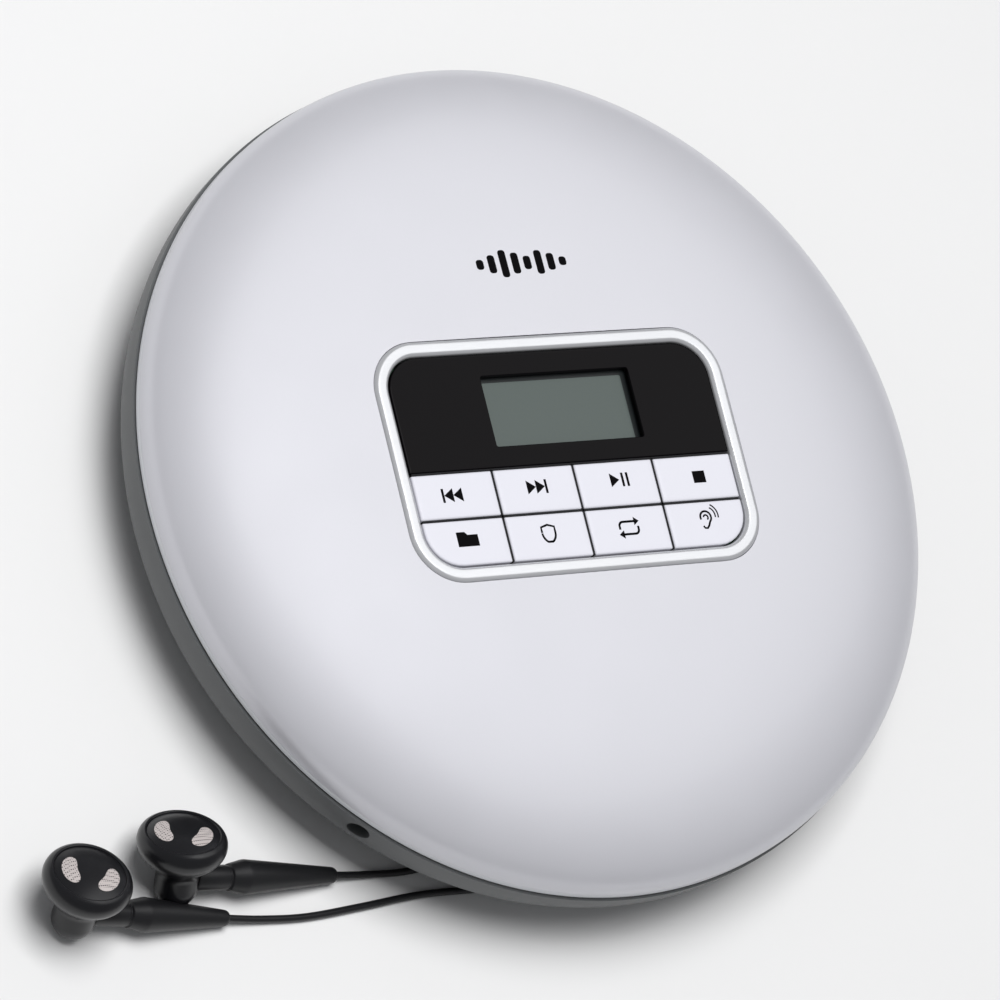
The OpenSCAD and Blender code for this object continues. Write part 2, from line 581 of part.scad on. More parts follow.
module lid_rim() color(RIM_GREY) difference() {
    union() {
        difference() {
            translate([0, 0, lid_bottom_z]) cylinder(h = rim_h, r = rim_r, $fn = 180);
            translate([0, 0, lid_bottom_z - 1]) cylinder(h = rim_h + 2, r = rim_r - lid_wall, $fn = 180);
        }
        for (s = [-1, 1]) {
            x0 = s > 0 ? lid_knuckle_x : -lid_knuckle_x - knuckle_l;
            rod_along_x(knuckle_r, x0, x0 + knuckle_l, hinge_y, hinge_z);
            slab(x0, x0 + knuckle_l, hinge_y, hinge_y + 1.9, lid_bottom_z, lid_bottom_z + rim_h);
        }
    }
    base_knuckle_room();
    for (s = [-1, 1]) rod_along_x(pin_r + pin_clear,
        s > 0 ? lid_knuckle_x - 0.2 : -lid_knuckle_x - knuckle_l - 1,
        s > 0 ? lid_knuckle_x + knuckle_l + 1 : -lid_knuckle_x + 0.2, hinge_y, hinge_z);
}
module lid_catch() color(RIM_GREY) {
    wall_box(latch_az, 65, rim_r - lid_wall - 0.05, 2.5, dome_z - 0.6, dome_z);
    wall_box(latch_az, 65, rim_r - lid_wall - 0.6, 2.5, dome_z - 0.6, dome_z + 1.4);
    at_az(latch_az) slab(64.8, 66, -2.5, -0.5, control_z_mid + 2.2, dome_z + 1.4);
    at_az(latch_az) slab(64.8, 66, -2.5, 1.9, control_z_mid + 2.2, control_z_mid + 3.4);
    wall_box(180, 62.4, rim_r - lid_wall - 0.02, 1.1, dome_z - 0.8, dome_z);
    wall_box(180, 62.4, rim_r - lid_wall - 0.6, 1.1, dome_z - 0.8, dome_z + 1);
    wall_box(180, 62.4, 64, 1.1, seam_z - 1, dome_z + 1);
}
module panel_bezel() color("#C8CBD0") difference() {
    union() {
        translate([0, 0, bezel_bottom_z]) linear_extrude(height = bezel_top_z - bezel_bottom_z)
            rrect(panel_w + 2 * bezel_w, panel_h + 2 * bezel_w, panel_r + bezel_w);
        translate([0, 0, bezel_bottom_z]) linear_extrude(height = 0.5)
            rrect(panel_w + 2 * bezel_w + 2.4, panel_h + 2 * bezel_w + 2.4, panel_r + bezel_w + 1.2);
    }
    translate([0, 0, bezel_bottom_z - 1]) linear_extrude(height = 10) rrect(panel_w, panel_h, panel_r);
}
module panel_area(y0, y1, x0, x1) intersection() {
    rrect(panel_w - 2 * 0.2, panel_h - 2 * 0.2, panel_r - 0.2);
    translate([x0, y0]) square([x1 - x0, y1 - y0]);
}
module display_window() color(BLACK) difference() {
    translate([0, 0, key_top_z - window_t]) linear_extrude(height = window_t)
        panel_area(key_top_y + key_gap / 2, panel_h, -panel_w, panel_w);
    translate([display_x - display_w / 2, display_y - display_h / 2, key_top_z - 3]) cube([display_w,
        display_h, 6]);
}
module lcd() color("#5F6A66") translate([display_x - display_w / 2 - 1.3,
    display_y - display_h / 2 - 1.1, control_top_z])
    cube([display_w + 2.6, display_h + 2.2, key_top_z - window_t - 0.7 - control_top_z]);
module key_mat() color("#2A2A2C") translate([0, 0, mat_z]) linear_extrude(height = mat_t)
    panel_area(key_top_y - 2 * key_pitch_y, key_top_y - 0.3, -panel_w, panel_w);
module key_places() for (row = [0, 1], col = [0 : 3])
    translate([(col - 1.5) * key_pitch_x, key_top_y - (row + 0.5) * key_pitch_y, 0]) children();
module key_switches() color(STEEL) key_places() translate([0, 0, control_top_z]) cylinder(h = 0.7, r = 2.2);
module control_board() color("#2F6B45") translate([0, 0, control_z]) linear_extrude(height = control_t)
    rrect(panel_w - 1, panel_h - 1, 3);
module key(i) {
    col = i % 4;
    row = floor(i / 4);
    x0 = (col - 2) * key_pitch_x;
    y0 = key_top_y - (row + 1) * key_pitch_y;
    g = key_gap / 2;
    color("#E8E8EE") {
        translate([0, 0, key_bottom_z]) linear_extrude(height = key_t)
            panel_area(y0 + g, y0 + key_pitch_y - g, x0 + g, x0 + key_pitch_x - g);
        translate([x0 + key_pitch_x / 2, y0 + key_pitch_y / 2, mat_z + mat_t + key_travel + 0.1])
            cylinder(h = key_bottom_z - mat_z - mat_t - key_travel, r = 1.6);
    }
}
module key_prev() key(0);
module key_next() key(1);
module key_play() key(2);
module key_stop() key(3);
module key_folder() key(4);
module key_shield() key(5);
module key_mode() key(6);
module key_ear() key(7);
module lid_liner() color("#4A4C50") difference() {
    union() {
        translate([0, 0, liner_z]) cylinder(h = liner_t, r = liner_r, $fn = 180);
        for (sx = [-1, 1], sy = [-1, 1]) translate([sx * 26, sy * 13, liner_z])
            cylinder(h = control_z - liner_z, r = 1.5);
    }
    for (p = liner_screw_pts) translate([p[0], p[1], liner_z - 1]) cylinder(h = 4, r = 0.95);
    for (p = liner_screw_pts) translate([p[0], p[1], liner_z - 1]) cylinder(h = 1.5, r = 1.9);
}
module liner_screws() color(STEEL) for (p = liner_screw_pts) translate([p[0], p[1], liner_z]) {
    cylinder(h = 0.45, r = 1.7);
    cylinder(h = 2.6, r = 0.8);
}

// Earphones
module bud_pair() {
    to_frame(LEFT_CAP, LEFT_OUT, LEFT_FACE) children();
    to_frame(RIGHT_CAP, RIGHT_OUT, RIGHT_FACE) children();
}
module earbud_grilles() color("#3A3A3E") bud_pair() lathe([[0, -1.2], [bud_d / 2 - 1.1, -1.2],
    [bud_d / 2 - 1.1, -0.2],
    [bud_d / 2 - 2.4, 0.35], [0, 0.7]]);
module earbud_housings() color(BLACK) bud_pair() lathe([[0, -neck_l - neck_r],
    for (a = [-80 : 20 : 0]) [neck_r * cos(a), -neck_l + neck_r * sin(a)],
    [neck_r, -6.6], [bud_d / 2 - 1.4, -3.4], [bud_d / 2, -2], [bud_d / 2, -0.9], [bud_d / 2 - 0.5, -0.1],
    [bud_d / 2 - 1.1, 0], [bud_d / 2 - 1.1, -1.2], [0, -1.2]]);
module boot(cap, face, out, end) {
    start = cap - unit(face) * boot_drop + unit(out) * (neck_r - 0.3);
    l = norm(end - start);
    to_frame(start, cross(end - start, [0, 0, 1]), (end - start) / l)
        lathe([[0, 0], [1.95, 0], [1.95, 6.4], [2.3, 6.8], [2.6, 8.2], [2.5, 11], [1.9, 15.5], [1.4,
            l - 2.5],
            [1.1, l], [0, l]]);
}
module earbud_boots() color(BLACK) difference() {
    union() {
        boot(LEFT_CAP, LEFT_FACE, LEFT_OUT, LEFT_END);
        boot(RIGHT_CAP, RIGHT_FACE, RIGHT_OUT, RIGHT_END);
    }
    bud_pair() translate([0, 0, -neck_l - neck_r]) cylinder(h = neck_l + neck_r, r = neck_r);
}
module lead_left() color(BLACK) tube(LEFT_ROUTE, cord_d, 2);
module lead_right() color(BLACK) tube(RIGHT_ROUTE, cord_d, 2);
module y_joint() color(BLACK) to_frame(Y_START, cross(Y_END - Y_START, [0, 0, 1]), Y_END - Y_START)
    lathe([[0, 0], [1, 0], [1.15, 1], [1.15, 5], [0.9, 7], [0.75, norm(Y_END - Y_START)], [0,
        norm(Y_END - Y_START)]]);
module cord_main() color(BLACK) {
    tube(TAIL_ROUTE, cord_d, 1);
    tube(PLUG_ROUTE, cord_d, 1);
}
module hank_outline(grow) {
    square([hank_l - hank_w, hank_w + 2 * grow], center = true);
    for (s = [-1, 1]) translate([s * (hank_l - hank_w) / 2, 0]) circle(hank_w / 2 + grow);
}
module at_hank() at_az(hank_az) translate([hank_r, 0, 0]) rotate([0, 0, 90]) children();
module cord_hank() color(BLACK) at_hank() linear_extrude(height = hank_h) hank_outline(0);
module cord_tie() color(BLACK) at_hank() difference() {
    translate([-1.5, -hank_w / 2 - 0.4, 0]) cube([3, hank_w + 0.8, hank_h + 0.4]);
    translate([-3, -hank_w / 2, -1]) cube([6, hank_w, hank_h + 1]);
}
module plug() color(BLACK) at_az(phones_az) {
    translate([jack_face_r + 0.1, 0, phones_z]) rotate([0, 90, 0]) cylinder(h = plug_r - jack_face_r,
        r = 2.4);
    translate([plug_r, -2.6, phones_z]) rotate([-90, 0, 0]) cylinder(h = plug_l + 2.6, r = plug_body_r);
    translate([plug_r, plug_l, phones_z]) rotate([-90, 0, 0]) cylinder(h = plug_boot_l, r1 = 1.9, r2 = 0.9);
}
module plug_tip() color(STEEL) at_az(phones_az) translate([jack_face_r - 12.4, 0, phones_z]) rotate([0,
    90, 0])
    lathe([[0, 0], [0.7, 0], [1.75, 1.4], [1.2, 3], [1.75, 3.8], [1.75, 12.5], [0, 12.5]]);

base_shell();
feet();
battery_door();
battery_contacts();
battery_springs();
deck();
case_screws();
chassis();
chassis_dampers();
spindle_motor();
turntable();
hub_balls();
pickup_sled();
pickup_lens();
guide_rods();
lead_screw();
sled_motor();
main_board();
board_chips();
line_out_jack();
phones_jack();
power_socket();
lid_switch();
latch_slider();
hold_switch();
volume_up();
volume_down();
side_switches();
hinge_pins();
lid_shell();
lid_rim();
lid_catch();
panel_bezel();
display_window();
lcd();
key_mat();
key_switches();
control_board();
lid_liner();
liner_screws();
key_prev();
key_next();
key_play();
key_stop();
key_folder();
key_shield();
key_mode();
key_ear();
earbud_grilles();
earbud_housings();
earbud_boots();
lead_left();
lead_right();
y_joint();
cord_main();
cord_hank();
cord_tie();
plug();
plug_tip();
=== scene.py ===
"""Looks of a round pocket disc player with a domed lid, a key panel and in-ear earphones.

Every new piece is a surface worked out as arrays of rings: a profile carried round an
outline, turned about an axis, or stretched between a panel's outline and the rim.
Sizes are in millimetres until a mesh is made, and then in metres.
"""

from __future__ import annotations

import json
import logging
import math
from dataclasses import dataclass, field
from enum import Enum
from typing import Any, Iterable, Sequence

import bmesh
import bpy
import numpy as np
from mathutils import Matrix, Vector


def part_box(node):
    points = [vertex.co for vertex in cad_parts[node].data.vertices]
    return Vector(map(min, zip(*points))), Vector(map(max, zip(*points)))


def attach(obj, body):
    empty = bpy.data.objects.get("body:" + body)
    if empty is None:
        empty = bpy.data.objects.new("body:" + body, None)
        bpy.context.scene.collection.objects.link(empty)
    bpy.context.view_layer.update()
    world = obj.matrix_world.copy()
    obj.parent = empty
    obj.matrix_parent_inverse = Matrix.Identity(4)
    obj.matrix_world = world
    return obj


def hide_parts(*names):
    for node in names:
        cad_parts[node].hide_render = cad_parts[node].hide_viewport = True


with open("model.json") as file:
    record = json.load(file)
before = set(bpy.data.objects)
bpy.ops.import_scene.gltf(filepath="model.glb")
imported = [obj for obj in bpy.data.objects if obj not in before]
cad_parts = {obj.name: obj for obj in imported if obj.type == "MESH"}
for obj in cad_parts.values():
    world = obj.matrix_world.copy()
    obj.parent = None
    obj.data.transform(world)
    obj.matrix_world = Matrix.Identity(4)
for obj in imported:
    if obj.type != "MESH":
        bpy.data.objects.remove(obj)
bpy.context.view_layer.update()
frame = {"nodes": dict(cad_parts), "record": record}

Array = np.ndarray
LOG = logging.getLogger("disc_player")
MM = 0.001
# How many times longer a brush mark is than wide
STREAK = 25.0
# Radius of a mesh's hole as a share of its pitch, where its dark middle ends and where the metal starts
HOLE_EDGE = (0.28, 0.36)
HOLE_BLACK = "#1A1A1C"
COAT_ROUGHNESS = 0.12
# Points this close, in metres, are one
WELD = 1e-7
# Profile points on the axis stand this far off it, in millimetres, so that every cap has an area
AXIS_GAP = 0.002
KEYS = ("key_prev", "key_next", "key_play", "key_stop", "key_folder", "key_shield", "key_mode", "key_ear")


# ---------------------------------------------------------------- finishes
class Texture(Enum):
    """How a surface was made, which decides its fine pattern."""

    PAINTED = "sprayed"
    MOULDED = "moulded"
    POLISHED = "polished"
    BRUSHED = "brushed"
    MESH = "perforated"


def linear(hex_colour: str) -> tuple[float, ...]:
    """Turn an sRGB hex colour to linear light.

    Args:
        hex_colour: Colour such as "#DCDCE4".

    Returns:
        Red, green and blue in linear light, and an opacity of 1.
    """
    parts = [int(hex_colour[i : i + 2], 16) / 255 for i in (1, 3, 5)]
    return tuple(c / 12.92 if c <= 0.04045 else ((c + 0.055) / 1.055) ** 2.4 for c in parts) + (1.0,)


def add_node(tree: bpy.types.NodeTree, kind: str, settings: dict[str, Any], links: dict[str, Any]) -> Any:
    """Add a shader node with its settings and the links into it.

    Args:
        tree: Node tree that takes the node.
        kind: Blender's name for the kind of node.
        settings: Attributes, or input sockets by name or number, and their values.
        links: Input sockets by name or number, and the output sockets that feed them.

    Returns:
        The new node.
    """
    node = tree.nodes.new(kind)
    for key, value in settings.items():
        if isinstance(key, str) and hasattr(node, key) and key not in node.inputs:
            setattr(node, key, value)
        else:
            node.inputs[key].default_value = value
    for key, source in links.items():
        tree.links.new(source, node.inputs[key])
    return node


@dataclass(frozen=True)
class Finish:
    """One finish: a base colour, a gloss and the fine pattern of how it was made.

    Attributes:
        name: Material's plain name.
        colour: sRGB hex colour.
        roughness: Mean roughness.
        metallic: 1 for bare metal, 0 for plastic, and between them for paint with metal or pearl flakes.
        texture: How the surface was made.
        grain_mm: Size of the fine pattern.
        bump_mm: Depth of the fine pattern.
        mottle: How much lightness varies over the surface, 0 to 1.
        shine_vary: How much roughness varies over the surface.
        coat: Weight of a clear top layer.
        ior: Refractive index of a dielectric.
        transmission: 1 for clear glass.
    """

    name: str
    colour: str
    roughness: float
    metallic: float = 0.0
    texture: Texture = Texture.MOULDED
    grain_mm: float = 0.4
    bump_mm: float = 0.01
    mottle: float = 0.04
    shine_vary: float = 0.05
    coat: float = 0.0
    ior: float = 1.5
    transmission: float = 0.0

    def pattern(self, tree: bpy.types.NodeTree, place: Any) -> Any:
        """Add the fine pattern and return its value, from 0 to 1.

        Args:
            tree: The material's node tree.
            place: Output socket that holds object coordinates.

        Returns:
            Output socket of the pattern.
        """
        per_metre = 1 / MM / self.grain_mm
        if self.texture is Texture.BRUSHED:
            scale = (per_metre / STREAK, per_metre, per_metre)
            stretched = add_node(tree, "ShaderNodeMapping", {"Scale": scale}, {"Vector": place})
            return add_node(
                tree, "ShaderNodeTexNoise", {"Scale": 1.0, "Detail": 3.0}, {"Vector": stretched.outputs[0]}
            ).outputs["Fac"]
        if self.texture is Texture.MESH:
            cells = add_node(
                tree, "ShaderNodeTexVoronoi", {"Scale": per_metre, "Randomness": 0.0}, {"Vector": place}
            )
            return add_node(
                tree, "ShaderNodeMapRange", {"From Min": HOLE_EDGE[0], "From Max": HOLE_EDGE[1]},
                {"Value": cells.outputs["Distance"]}
            ).outputs[0]
        settings = {"Scale": per_metre, "Detail": 4.0, "Roughness": 0.6}
        return add_node(tree, "ShaderNodeTexNoise", settings, {"Vector": place}).outputs["Fac"]

    def make(self) -> bpy.types.Material:
        """Build the material's nodes.

        Returns:
            The finished material.
        """
        material = bpy.data.materials.new(self.name)
        material.use_nodes = True
        tree = material.node_tree
        shader = tree.nodes["Principled BSDF"]
        place = add_node(tree, "ShaderNodeTexCoord", {}, {}).outputs["Object"]
        fine = self.pattern(tree, place)
        # broad, soft variation about 12 mm across, as handling and moulding leave
        broad = add_node(
            tree, "ShaderNodeTexNoise", {"Scale": 80.0, "Detail": 2.0, "Roughness": 0.5}, {"Vector": place}
        ).outputs["Fac"]
        base = linear(self.colour)
        if self.texture is Texture.MESH:
            dark, light = linear(HOLE_BLACK), base
            value, low, high = fine, 0.0, 1.0
        else:
            dark, light = (tuple(min(1.0, c * k) for c in base[:3]) + (1.0,)
                           for k in (1 - self.mottle, 1 + self.mottle))
            # two noises added together mostly stay within this span
            value, low, high = add_node(
                tree, "ShaderNodeMath", {"operation": "ADD"}, {0: fine, 1: broad}
            ).outputs[0], 0.6, 1.4
        span = add_node(
            tree, "ShaderNodeMapRange", {"From Min": low, "From Max": high}, {"Value": value}
        ).outputs[0]
        tint = add_node(tree, "ShaderNodeMix", {"data_type": "RGBA", 6: dark, 7: light}, {0: span})
        tree.links.new(tint.outputs[2], shader.inputs["Base Color"])
        rough = add_node(
            tree,
            "ShaderNodeMapRange",
            {"To Min": max(0.02, self.roughness - self.shine_vary),
             "To Max": self.roughness + self.shine_vary},
            {"Value": broad},
        ).outputs[0]
        tree.links.new(rough, shader.inputs["Roughness"])
        bump = add_node(
            tree, "ShaderNodeBump", {"Strength": 1.0, "Distance": self.bump_mm * MM}, {"Height": fine}
        ).outputs[0]
        tree.links.new(bump, shader.inputs["Normal"])
        shader.inputs["Metallic"].default_value = self.metallic
        if not self.metallic:
            shader.inputs["IOR"].default_value = self.ior
        shader.inputs["Coat Weight"].default_value = self.coat
        shader.inputs["Coat Roughness"].default_value = COAT_ROUGHNESS
        shader.inputs["Transmission Weight"].default_value = self.transmission
        return material


# Satin pearl paint over ABS: bright, with a soft broad highlight and a faint flake
PEARL_PAINT = Finish("pearl_paint", "#D2D2D8", 0.42, metallic=0.35, texture=Texture.PAINTED, grain_mm=0.25,
                     bump_mm=0.0012, mottle=0.012, coat=0.25)
# Grey moulded ABS with a fine spark-eroded grain, so highlights stay broad and dull
GREY_ABS = Finish("grey_abs", "#5A5C5D", 0.5, grain_mm=0.35, bump_mm=0.006, mottle=0.04)
# Smoother grey plastic for the lid's rim; its light colour is partly the rim's own paler grey and partly
# painted light, raised to make up for the shade that the overhead lights leave on this upright band
RIM_ABS_PAINTED_LIGHT = Finish("rim_abs_painted_light", "#DDDFE3", 0.42, grain_mm=0.35, bump_mm=0.003, mottle=0.03)
# Smooth white key caps with a slight cool cast
KEY_ABS = Finish("key_abs", "#D7D7DF", 0.34, grain_mm=0.3, bump_mm=0.001, mottle=0.01, coat=0.1)
# Satin plate on the panel's frame, with a pale bloom over the metal: soft streaked reflections
SATIN_CHROME = Finish("satin_chrome", "#DCDDE0", 0.24, metallic=0.6, texture=Texture.BRUSHED, grain_mm=0.12,
                      bump_mm=0.0008, mottle=0.05)
# Tinted black acrylic with a coat that kills most reflections
BLACK_ACRYLIC = Finish("black_acrylic", "#070507", 0.05, texture=Texture.POLISHED, grain_mm=3.0,
                       bump_mm=0.0003, mottle=0.02, shine_vary=0.01, ior=1.2)
# Unlit display glass, matt, grey-green, over a dark mask
DISPLAY_GLASS = Finish("display_glass", "#4B5451", 0.35, texture=Texture.POLISHED, grain_mm=0.5,
                       bump_mm=0.0004, mottle=0.03)
# Dark mask under the display glass; the strip of it left bare along the top and right is painted shade of the
# window's recess
DISPLAY_MASK_AND_SHADE = Finish("display_mask_and_shade", "#1B1E1F", 0.45, grain_mm=0.5, bump_mm=0.0005, mottle=0.02)
# Pad-printed black ink
BLACK_INK = Finish("black_ink", "#070608", 0.7, texture=Texture.PAINTED, grain_mm=0.15, bump_mm=0.0005,
                   mottle=0.03, ior=1.2)
# Dark tray plastic inside the lid and under the disc
TRAY_ABS = Finish("tray_abs", "#37393D", 0.5, grain_mm=0.4, bump_mm=0.006, mottle=0.04)
# Soft black rubber of feet, dampers and key mat
BLACK_RUBBER = Finish("black_rubber", "#1A1A1C", 0.75, grain_mm=0.5, bump_mm=0.012, mottle=0.08)
# Turned and drawn steel of pins, rods, springs and screws
BRIGHT_STEEL = Finish("bright_steel", "#B9BCC1", 0.28, metallic=1.0, texture=Texture.BRUSHED, grain_mm=0.15,
                      bump_mm=0.001, mottle=0.06)
# Zinc-plated pressed sheet of the drive's chassis
ZINC_SHEET = Finish("zinc_sheet", "#A5A9AC", 0.4, metallic=1.0, texture=Texture.BRUSHED, grain_mm=0.3,
                    bump_mm=0.002, mottle=0.08)
# Die-cast zinc of the pickup's sled, grainy and dull
CAST_ZINC = Finish("cast_zinc", "#8C8F93", 0.48, metallic=1.0, grain_mm=0.4, bump_mm=0.006, mottle=0.08)
# Coated lens, with a blue cast
LENS_GLASS = Finish("lens_glass", "#8FB6D6", 0.04, texture=Texture.POLISHED, grain_mm=2.0,
                    bump_mm=0.0001, mottle=0.02, shine_vary=0.01, ior=1.6, transmission=0.6)
# Black acetal of the turntable
BLACK_ACETAL = Finish("black_acetal", "#232327", 0.38, grain_mm=0.4, bump_mm=0.003, mottle=0.04)
# Green solder mask over copper
SOLDER_MASK = Finish("solder_mask", "#22603C", 0.38, grain_mm=1.2, bump_mm=0.008, mottle=0.16, coat=0.2)
# Moulded black epoxy and nylon of chips, sockets and switches
BLACK_NYLON = Finish("black_nylon", "#1D1D20", 0.5, grain_mm=0.3, bump_mm=0.004, mottle=0.05)
# Satin black ABS of the earbuds
SATIN_BLACK = Finish("satin_black", "#121215", 0.3, texture=Texture.POLISHED, grain_mm=1.5,
                     bump_mm=0.0005, mottle=0.02, shine_vary=0.03)
# Stamped speaker mesh, holes drawn at 0.34 mm so that they show
SPEAKER_MESH = Finish("speaker_mesh", "#BDB5B3", 0.5, texture=Texture.MESH, grain_mm=0.34, bump_mm=0.02)
# Soft PVC of the cord, its reliefs and the plug's body
CORD_PVC = Finish("cord_pvc", "#161618", 0.42, grain_mm=0.3, bump_mm=0.003, mottle=0.05)
# Nickel-plated brass of the plug
NICKEL = Finish("nickel", "#C9CBCE", 0.16, metallic=1.0, texture=Texture.BRUSHED, grain_mm=0.15,
                bump_mm=0.0005, mottle=0.03)
# Matt pale paper of the floor
FLOOR_PAPER = Finish("floor_paper", "#E6E6E6", 0.8, grain_mm=2.0, bump_mm=0.004, mottle=0.004)

CAD_FINISHES: dict[str, Finish] = {
    "deck_dark": TRAY_ABS, "rubber_black": BLACK_RUBBER, "steel_bright": BRIGHT_STEEL,
    "chassis_steel": ZINC_SHEET, "pickup_metal": CAST_ZINC, "lens_glass": LENS_GLASS,
    "turntable_black": BLACK_ACETAL, "board_green": SOLDER_MASK, "part_black": BLACK_NYLON,
    "earbud_gloss": SATIN_BLACK, "cord_rubber": CORD_PVC, "plug_metal": NICKEL,
    "pearl_lid": PEARL_PAINT, "rim_grey": RIM_ABS_PAINTED_LIGHT, "case_grey": GREY_ABS, "key_white": KEY_ABS,
    "bezel_chrome": SATIN_CHROME, "window_black": BLACK_ACRYLIC, "lcd_glass": DISPLAY_MASK_AND_SHADE,
}


class Paintshop:
    """Makes each finish once and hands it out."""

    def __init__(self) -> None:
        """Start with no materials."""
        self.made: dict[str, bpy.types.Material] = {}

    def get(self, finish: Finish) -> bpy.types.Material:
        """Return the material of a finish."""
        if finish.name not in self.made:
            self.made[finish.name] = finish.make()
        return self.made[finish.name]


SHOP = Paintshop()


# ---------------------------------------------------------------- mesh code
def new_piece(name: str, points: Array, faces: list[Sequence[int]], finish: Finish,
              crease: float = 35.0) -> Any:
    """Make one closed piece from points in millimetres.

    Args:
        name: The piece's plain name.
        points: Corner points, one row each.
        faces: Corner numbers of each face.
        finish: The finish that it gets.
        crease: Angle in degrees past which an edge stays sharp.

    Returns:
        The new object, at the origin.
    """
    mesh = bpy.data.meshes.new(name)
    mesh.from_pydata((points * MM).tolist(), [], faces)
    work = bmesh.new()
    work.from_mesh(mesh)
    bmesh.ops.remove_doubles(work, verts=work.verts, dist=WELD)
    bmesh.ops.recalc_face_normals(work, faces=work.faces)
    work.to_mesh(mesh)
    work.free()
    mesh.polygons.foreach_set("use_smooth", np.ones(len(mesh.polygons), dtype=bool))
    mesh.set_sharp_from_angle(angle=math.radians(crease))
    mesh.materials.append(SHOP.get(finish))
    piece = bpy.data.objects.new(name, mesh)
    bpy.context.scene.collection.objects.link(piece)
    return piece


def ring_faces(rows: int, count: int, start: int, loop: bool) -> list[Sequence[int]]:
    """Number the faces between rings of equal count, capped at both ends unless they loop.

    Args:
        rows: How many rings there are.
        count: Points on each ring.
        start: Number of the first point.
        loop: Whether the last ring joins the first.

    Returns:
        The faces as lists of point numbers.
    """
    across = np.arange(count)
    along = np.arange(rows if loop else rows - 1)
    a = (along[:, None] * count + across[None, :]).ravel()
    b = (along[:, None] * count + (across[None, :] + 1) % count).ravel()
    up = count
    total = rows * count
    quads = np.stack([a, b, (b + up) % total, (a + up) % total], axis=1) + start
    faces: list[Sequence[int]] = quads.tolist()
    if not loop:
        faces.append((start + across[::-1]).tolist())
        faces.append((start + total - count + across).tolist())
    return faces


def rings_piece(name: str, stacks: Iterable[tuple[Array, bool]], finish: Finish, crease: float = 35.0) -> Any:
    """Make a piece from stacks of rings.

    Args:
        name: The piece's plain name.
        stacks: Pairs of an array (rings, points, 3) and whether its last ring joins its first.
        finish: The finish that it gets.
        crease: Angle in degrees past which an edge stays sharp.

    Returns:
        The new object.
    """
    points: list[Array] = []
    faces: list[Sequence[int]] = []
    start = 0
    for rings, loop in stacks:
        rows, count = rings.shape[:2]
        points.append(rings.reshape(-1, 3))
        faces += ring_faces(rows, count, start, loop)
        start += rows * count
    return new_piece(name, np.concatenate(points), faces, finish, crease)


def turned(profile: Array, count: int = 96) -> Array:
    """Turn a profile of (radius, height) about +Z: each ring is a circle of that radius at that height."""
    angle = np.linspace(0, 2 * np.pi, count, endpoint=False)
    radius, height = np.maximum(profile[:, 0], AXIS_GAP), profile[:, 1]
    return np.stack(
        [radius[:, None] * np.cos(angle), radius[:, None] * np.sin(angle),
         np.repeat(height[:, None], count, 1)], axis=2
    )


def softened(profile: Sequence[tuple[float, float]], radius: float, steps: int = 3,
             closed: bool = False) -> Array:
    """Round a profile's corners: each is cut back by radius along both sides and joined by a curve.

    The curve is quadratic, with the old corner as its control point.

    Args:
        profile: Corner points.
        radius: How far back each corner is cut, at most 0.45 of the shorter side.
        steps: Points on each curve.
        closed: Whether the last point joins the first.

    Returns:
        The softened profile.
    """
    corner = np.array(profile, dtype=float)
    before, after = np.roll(corner, 1, axis=0), np.roll(corner, -1, axis=0)
    in_length = np.linalg.norm(before - corner, axis=1)
    out_length = np.linalg.norm(after - corner, axis=1)
    reach = np.minimum(radius, 0.45 * np.minimum(in_length, out_length))
    if not closed:
        reach[0] = reach[-1] = 0.0
    start = corner + (before - corner) * (reach / np.maximum(in_length, 1e-9))[:, None]
    end = corner + (after - corner) * (reach / np.maximum(out_length, 1e-9))[:, None]
    t = np.linspace(0, 1, steps + 1)[None, :, None]
    curve = (1 - t) ** 2 * start[:, None] + 2 * t * (1 - t) * corner[:, None] + t**2 * end[:, None]
    flat = curve.reshape(-1, 2)
    keep = np.ones(len(flat), dtype=bool)
    keep[1:] = np.linalg.norm(np.diff(flat, axis=0), axis=1) > 1e-6
    return flat[keep]


def placed(rings: Array, origin: Sequence[float], along: Sequence[float], side: Sequence[float]) -> Array:
    """Move rings so that their +Z lies along one direction and their +X towards another.

    Args:
        rings: Points, with +Z as their own axis.
        origin: Where their origin goes.
        along: Direction of their +Z.
        side: Direction that their +X leans to.

    Returns:
        The moved points.
    """
    axis = np.array(along, dtype=float)
    axis /= np.linalg.norm(axis)
    across = np.array(side, dtype=float)
    across -= axis * across.dot(axis)
    across /= np.linalg.norm(across)
    return rings @ np.array([across, np.cross(axis, across), axis]) + np.array(origin, dtype=float)


def corner_outline(low: Sequence[float], high: Sequence[float], radii: Sequence[float], inset: float = 0.0,
                   steps: int = 8, straight: int = 1) -> Array:
    """Outline of a rectangle whose four corners are arcs, from the lower left, anticlockwise.

    Args:
        low: Lowest x and y.
        high: Highest x and y.
        radii: Radius of each corner: lower left, lower right, upper right, upper left.
        inset: How far the whole outline lies inside.
        steps: Spans on each arc.
        straight: Spans on each straight side.

    Returns:
        Points of the outline, the same number for any inset.
    """
    x0, y0, x1, y1 = low[0] + inset, low[1] + inset, high[0] - inset, high[1] - inset
    radius = np.maximum(np.array(radii, dtype=float) - inset, 0.02)
    centres = np.array([
        [x0 + radius[0], y0 + radius[0]], [x1 - radius[1], y0 + radius[1]],
        [x1 - radius[2], y1 - radius[2]], [x0 + radius[3], y1 - radius[3]],
    ])
    turn = np.linspace(0, np.pi / 2, steps + 1)
    angle = np.array([np.pi, 1.5 * np.pi, 0.0, 0.5 * np.pi])[:, None] + turn[None, :]
    arcs = centres[:, None] + radius[:, None, None] * np.stack([np.cos(angle), np.sin(angle)], axis=2)
    share = (np.arange(1, straight) / straight)[None, :, None]
    sides = arcs[:, -1:] * (1 - share) + np.roll(arcs, -1, axis=0)[:, :1] * share
    return np.concatenate([arcs, sides], axis=1).reshape(-1, 2)


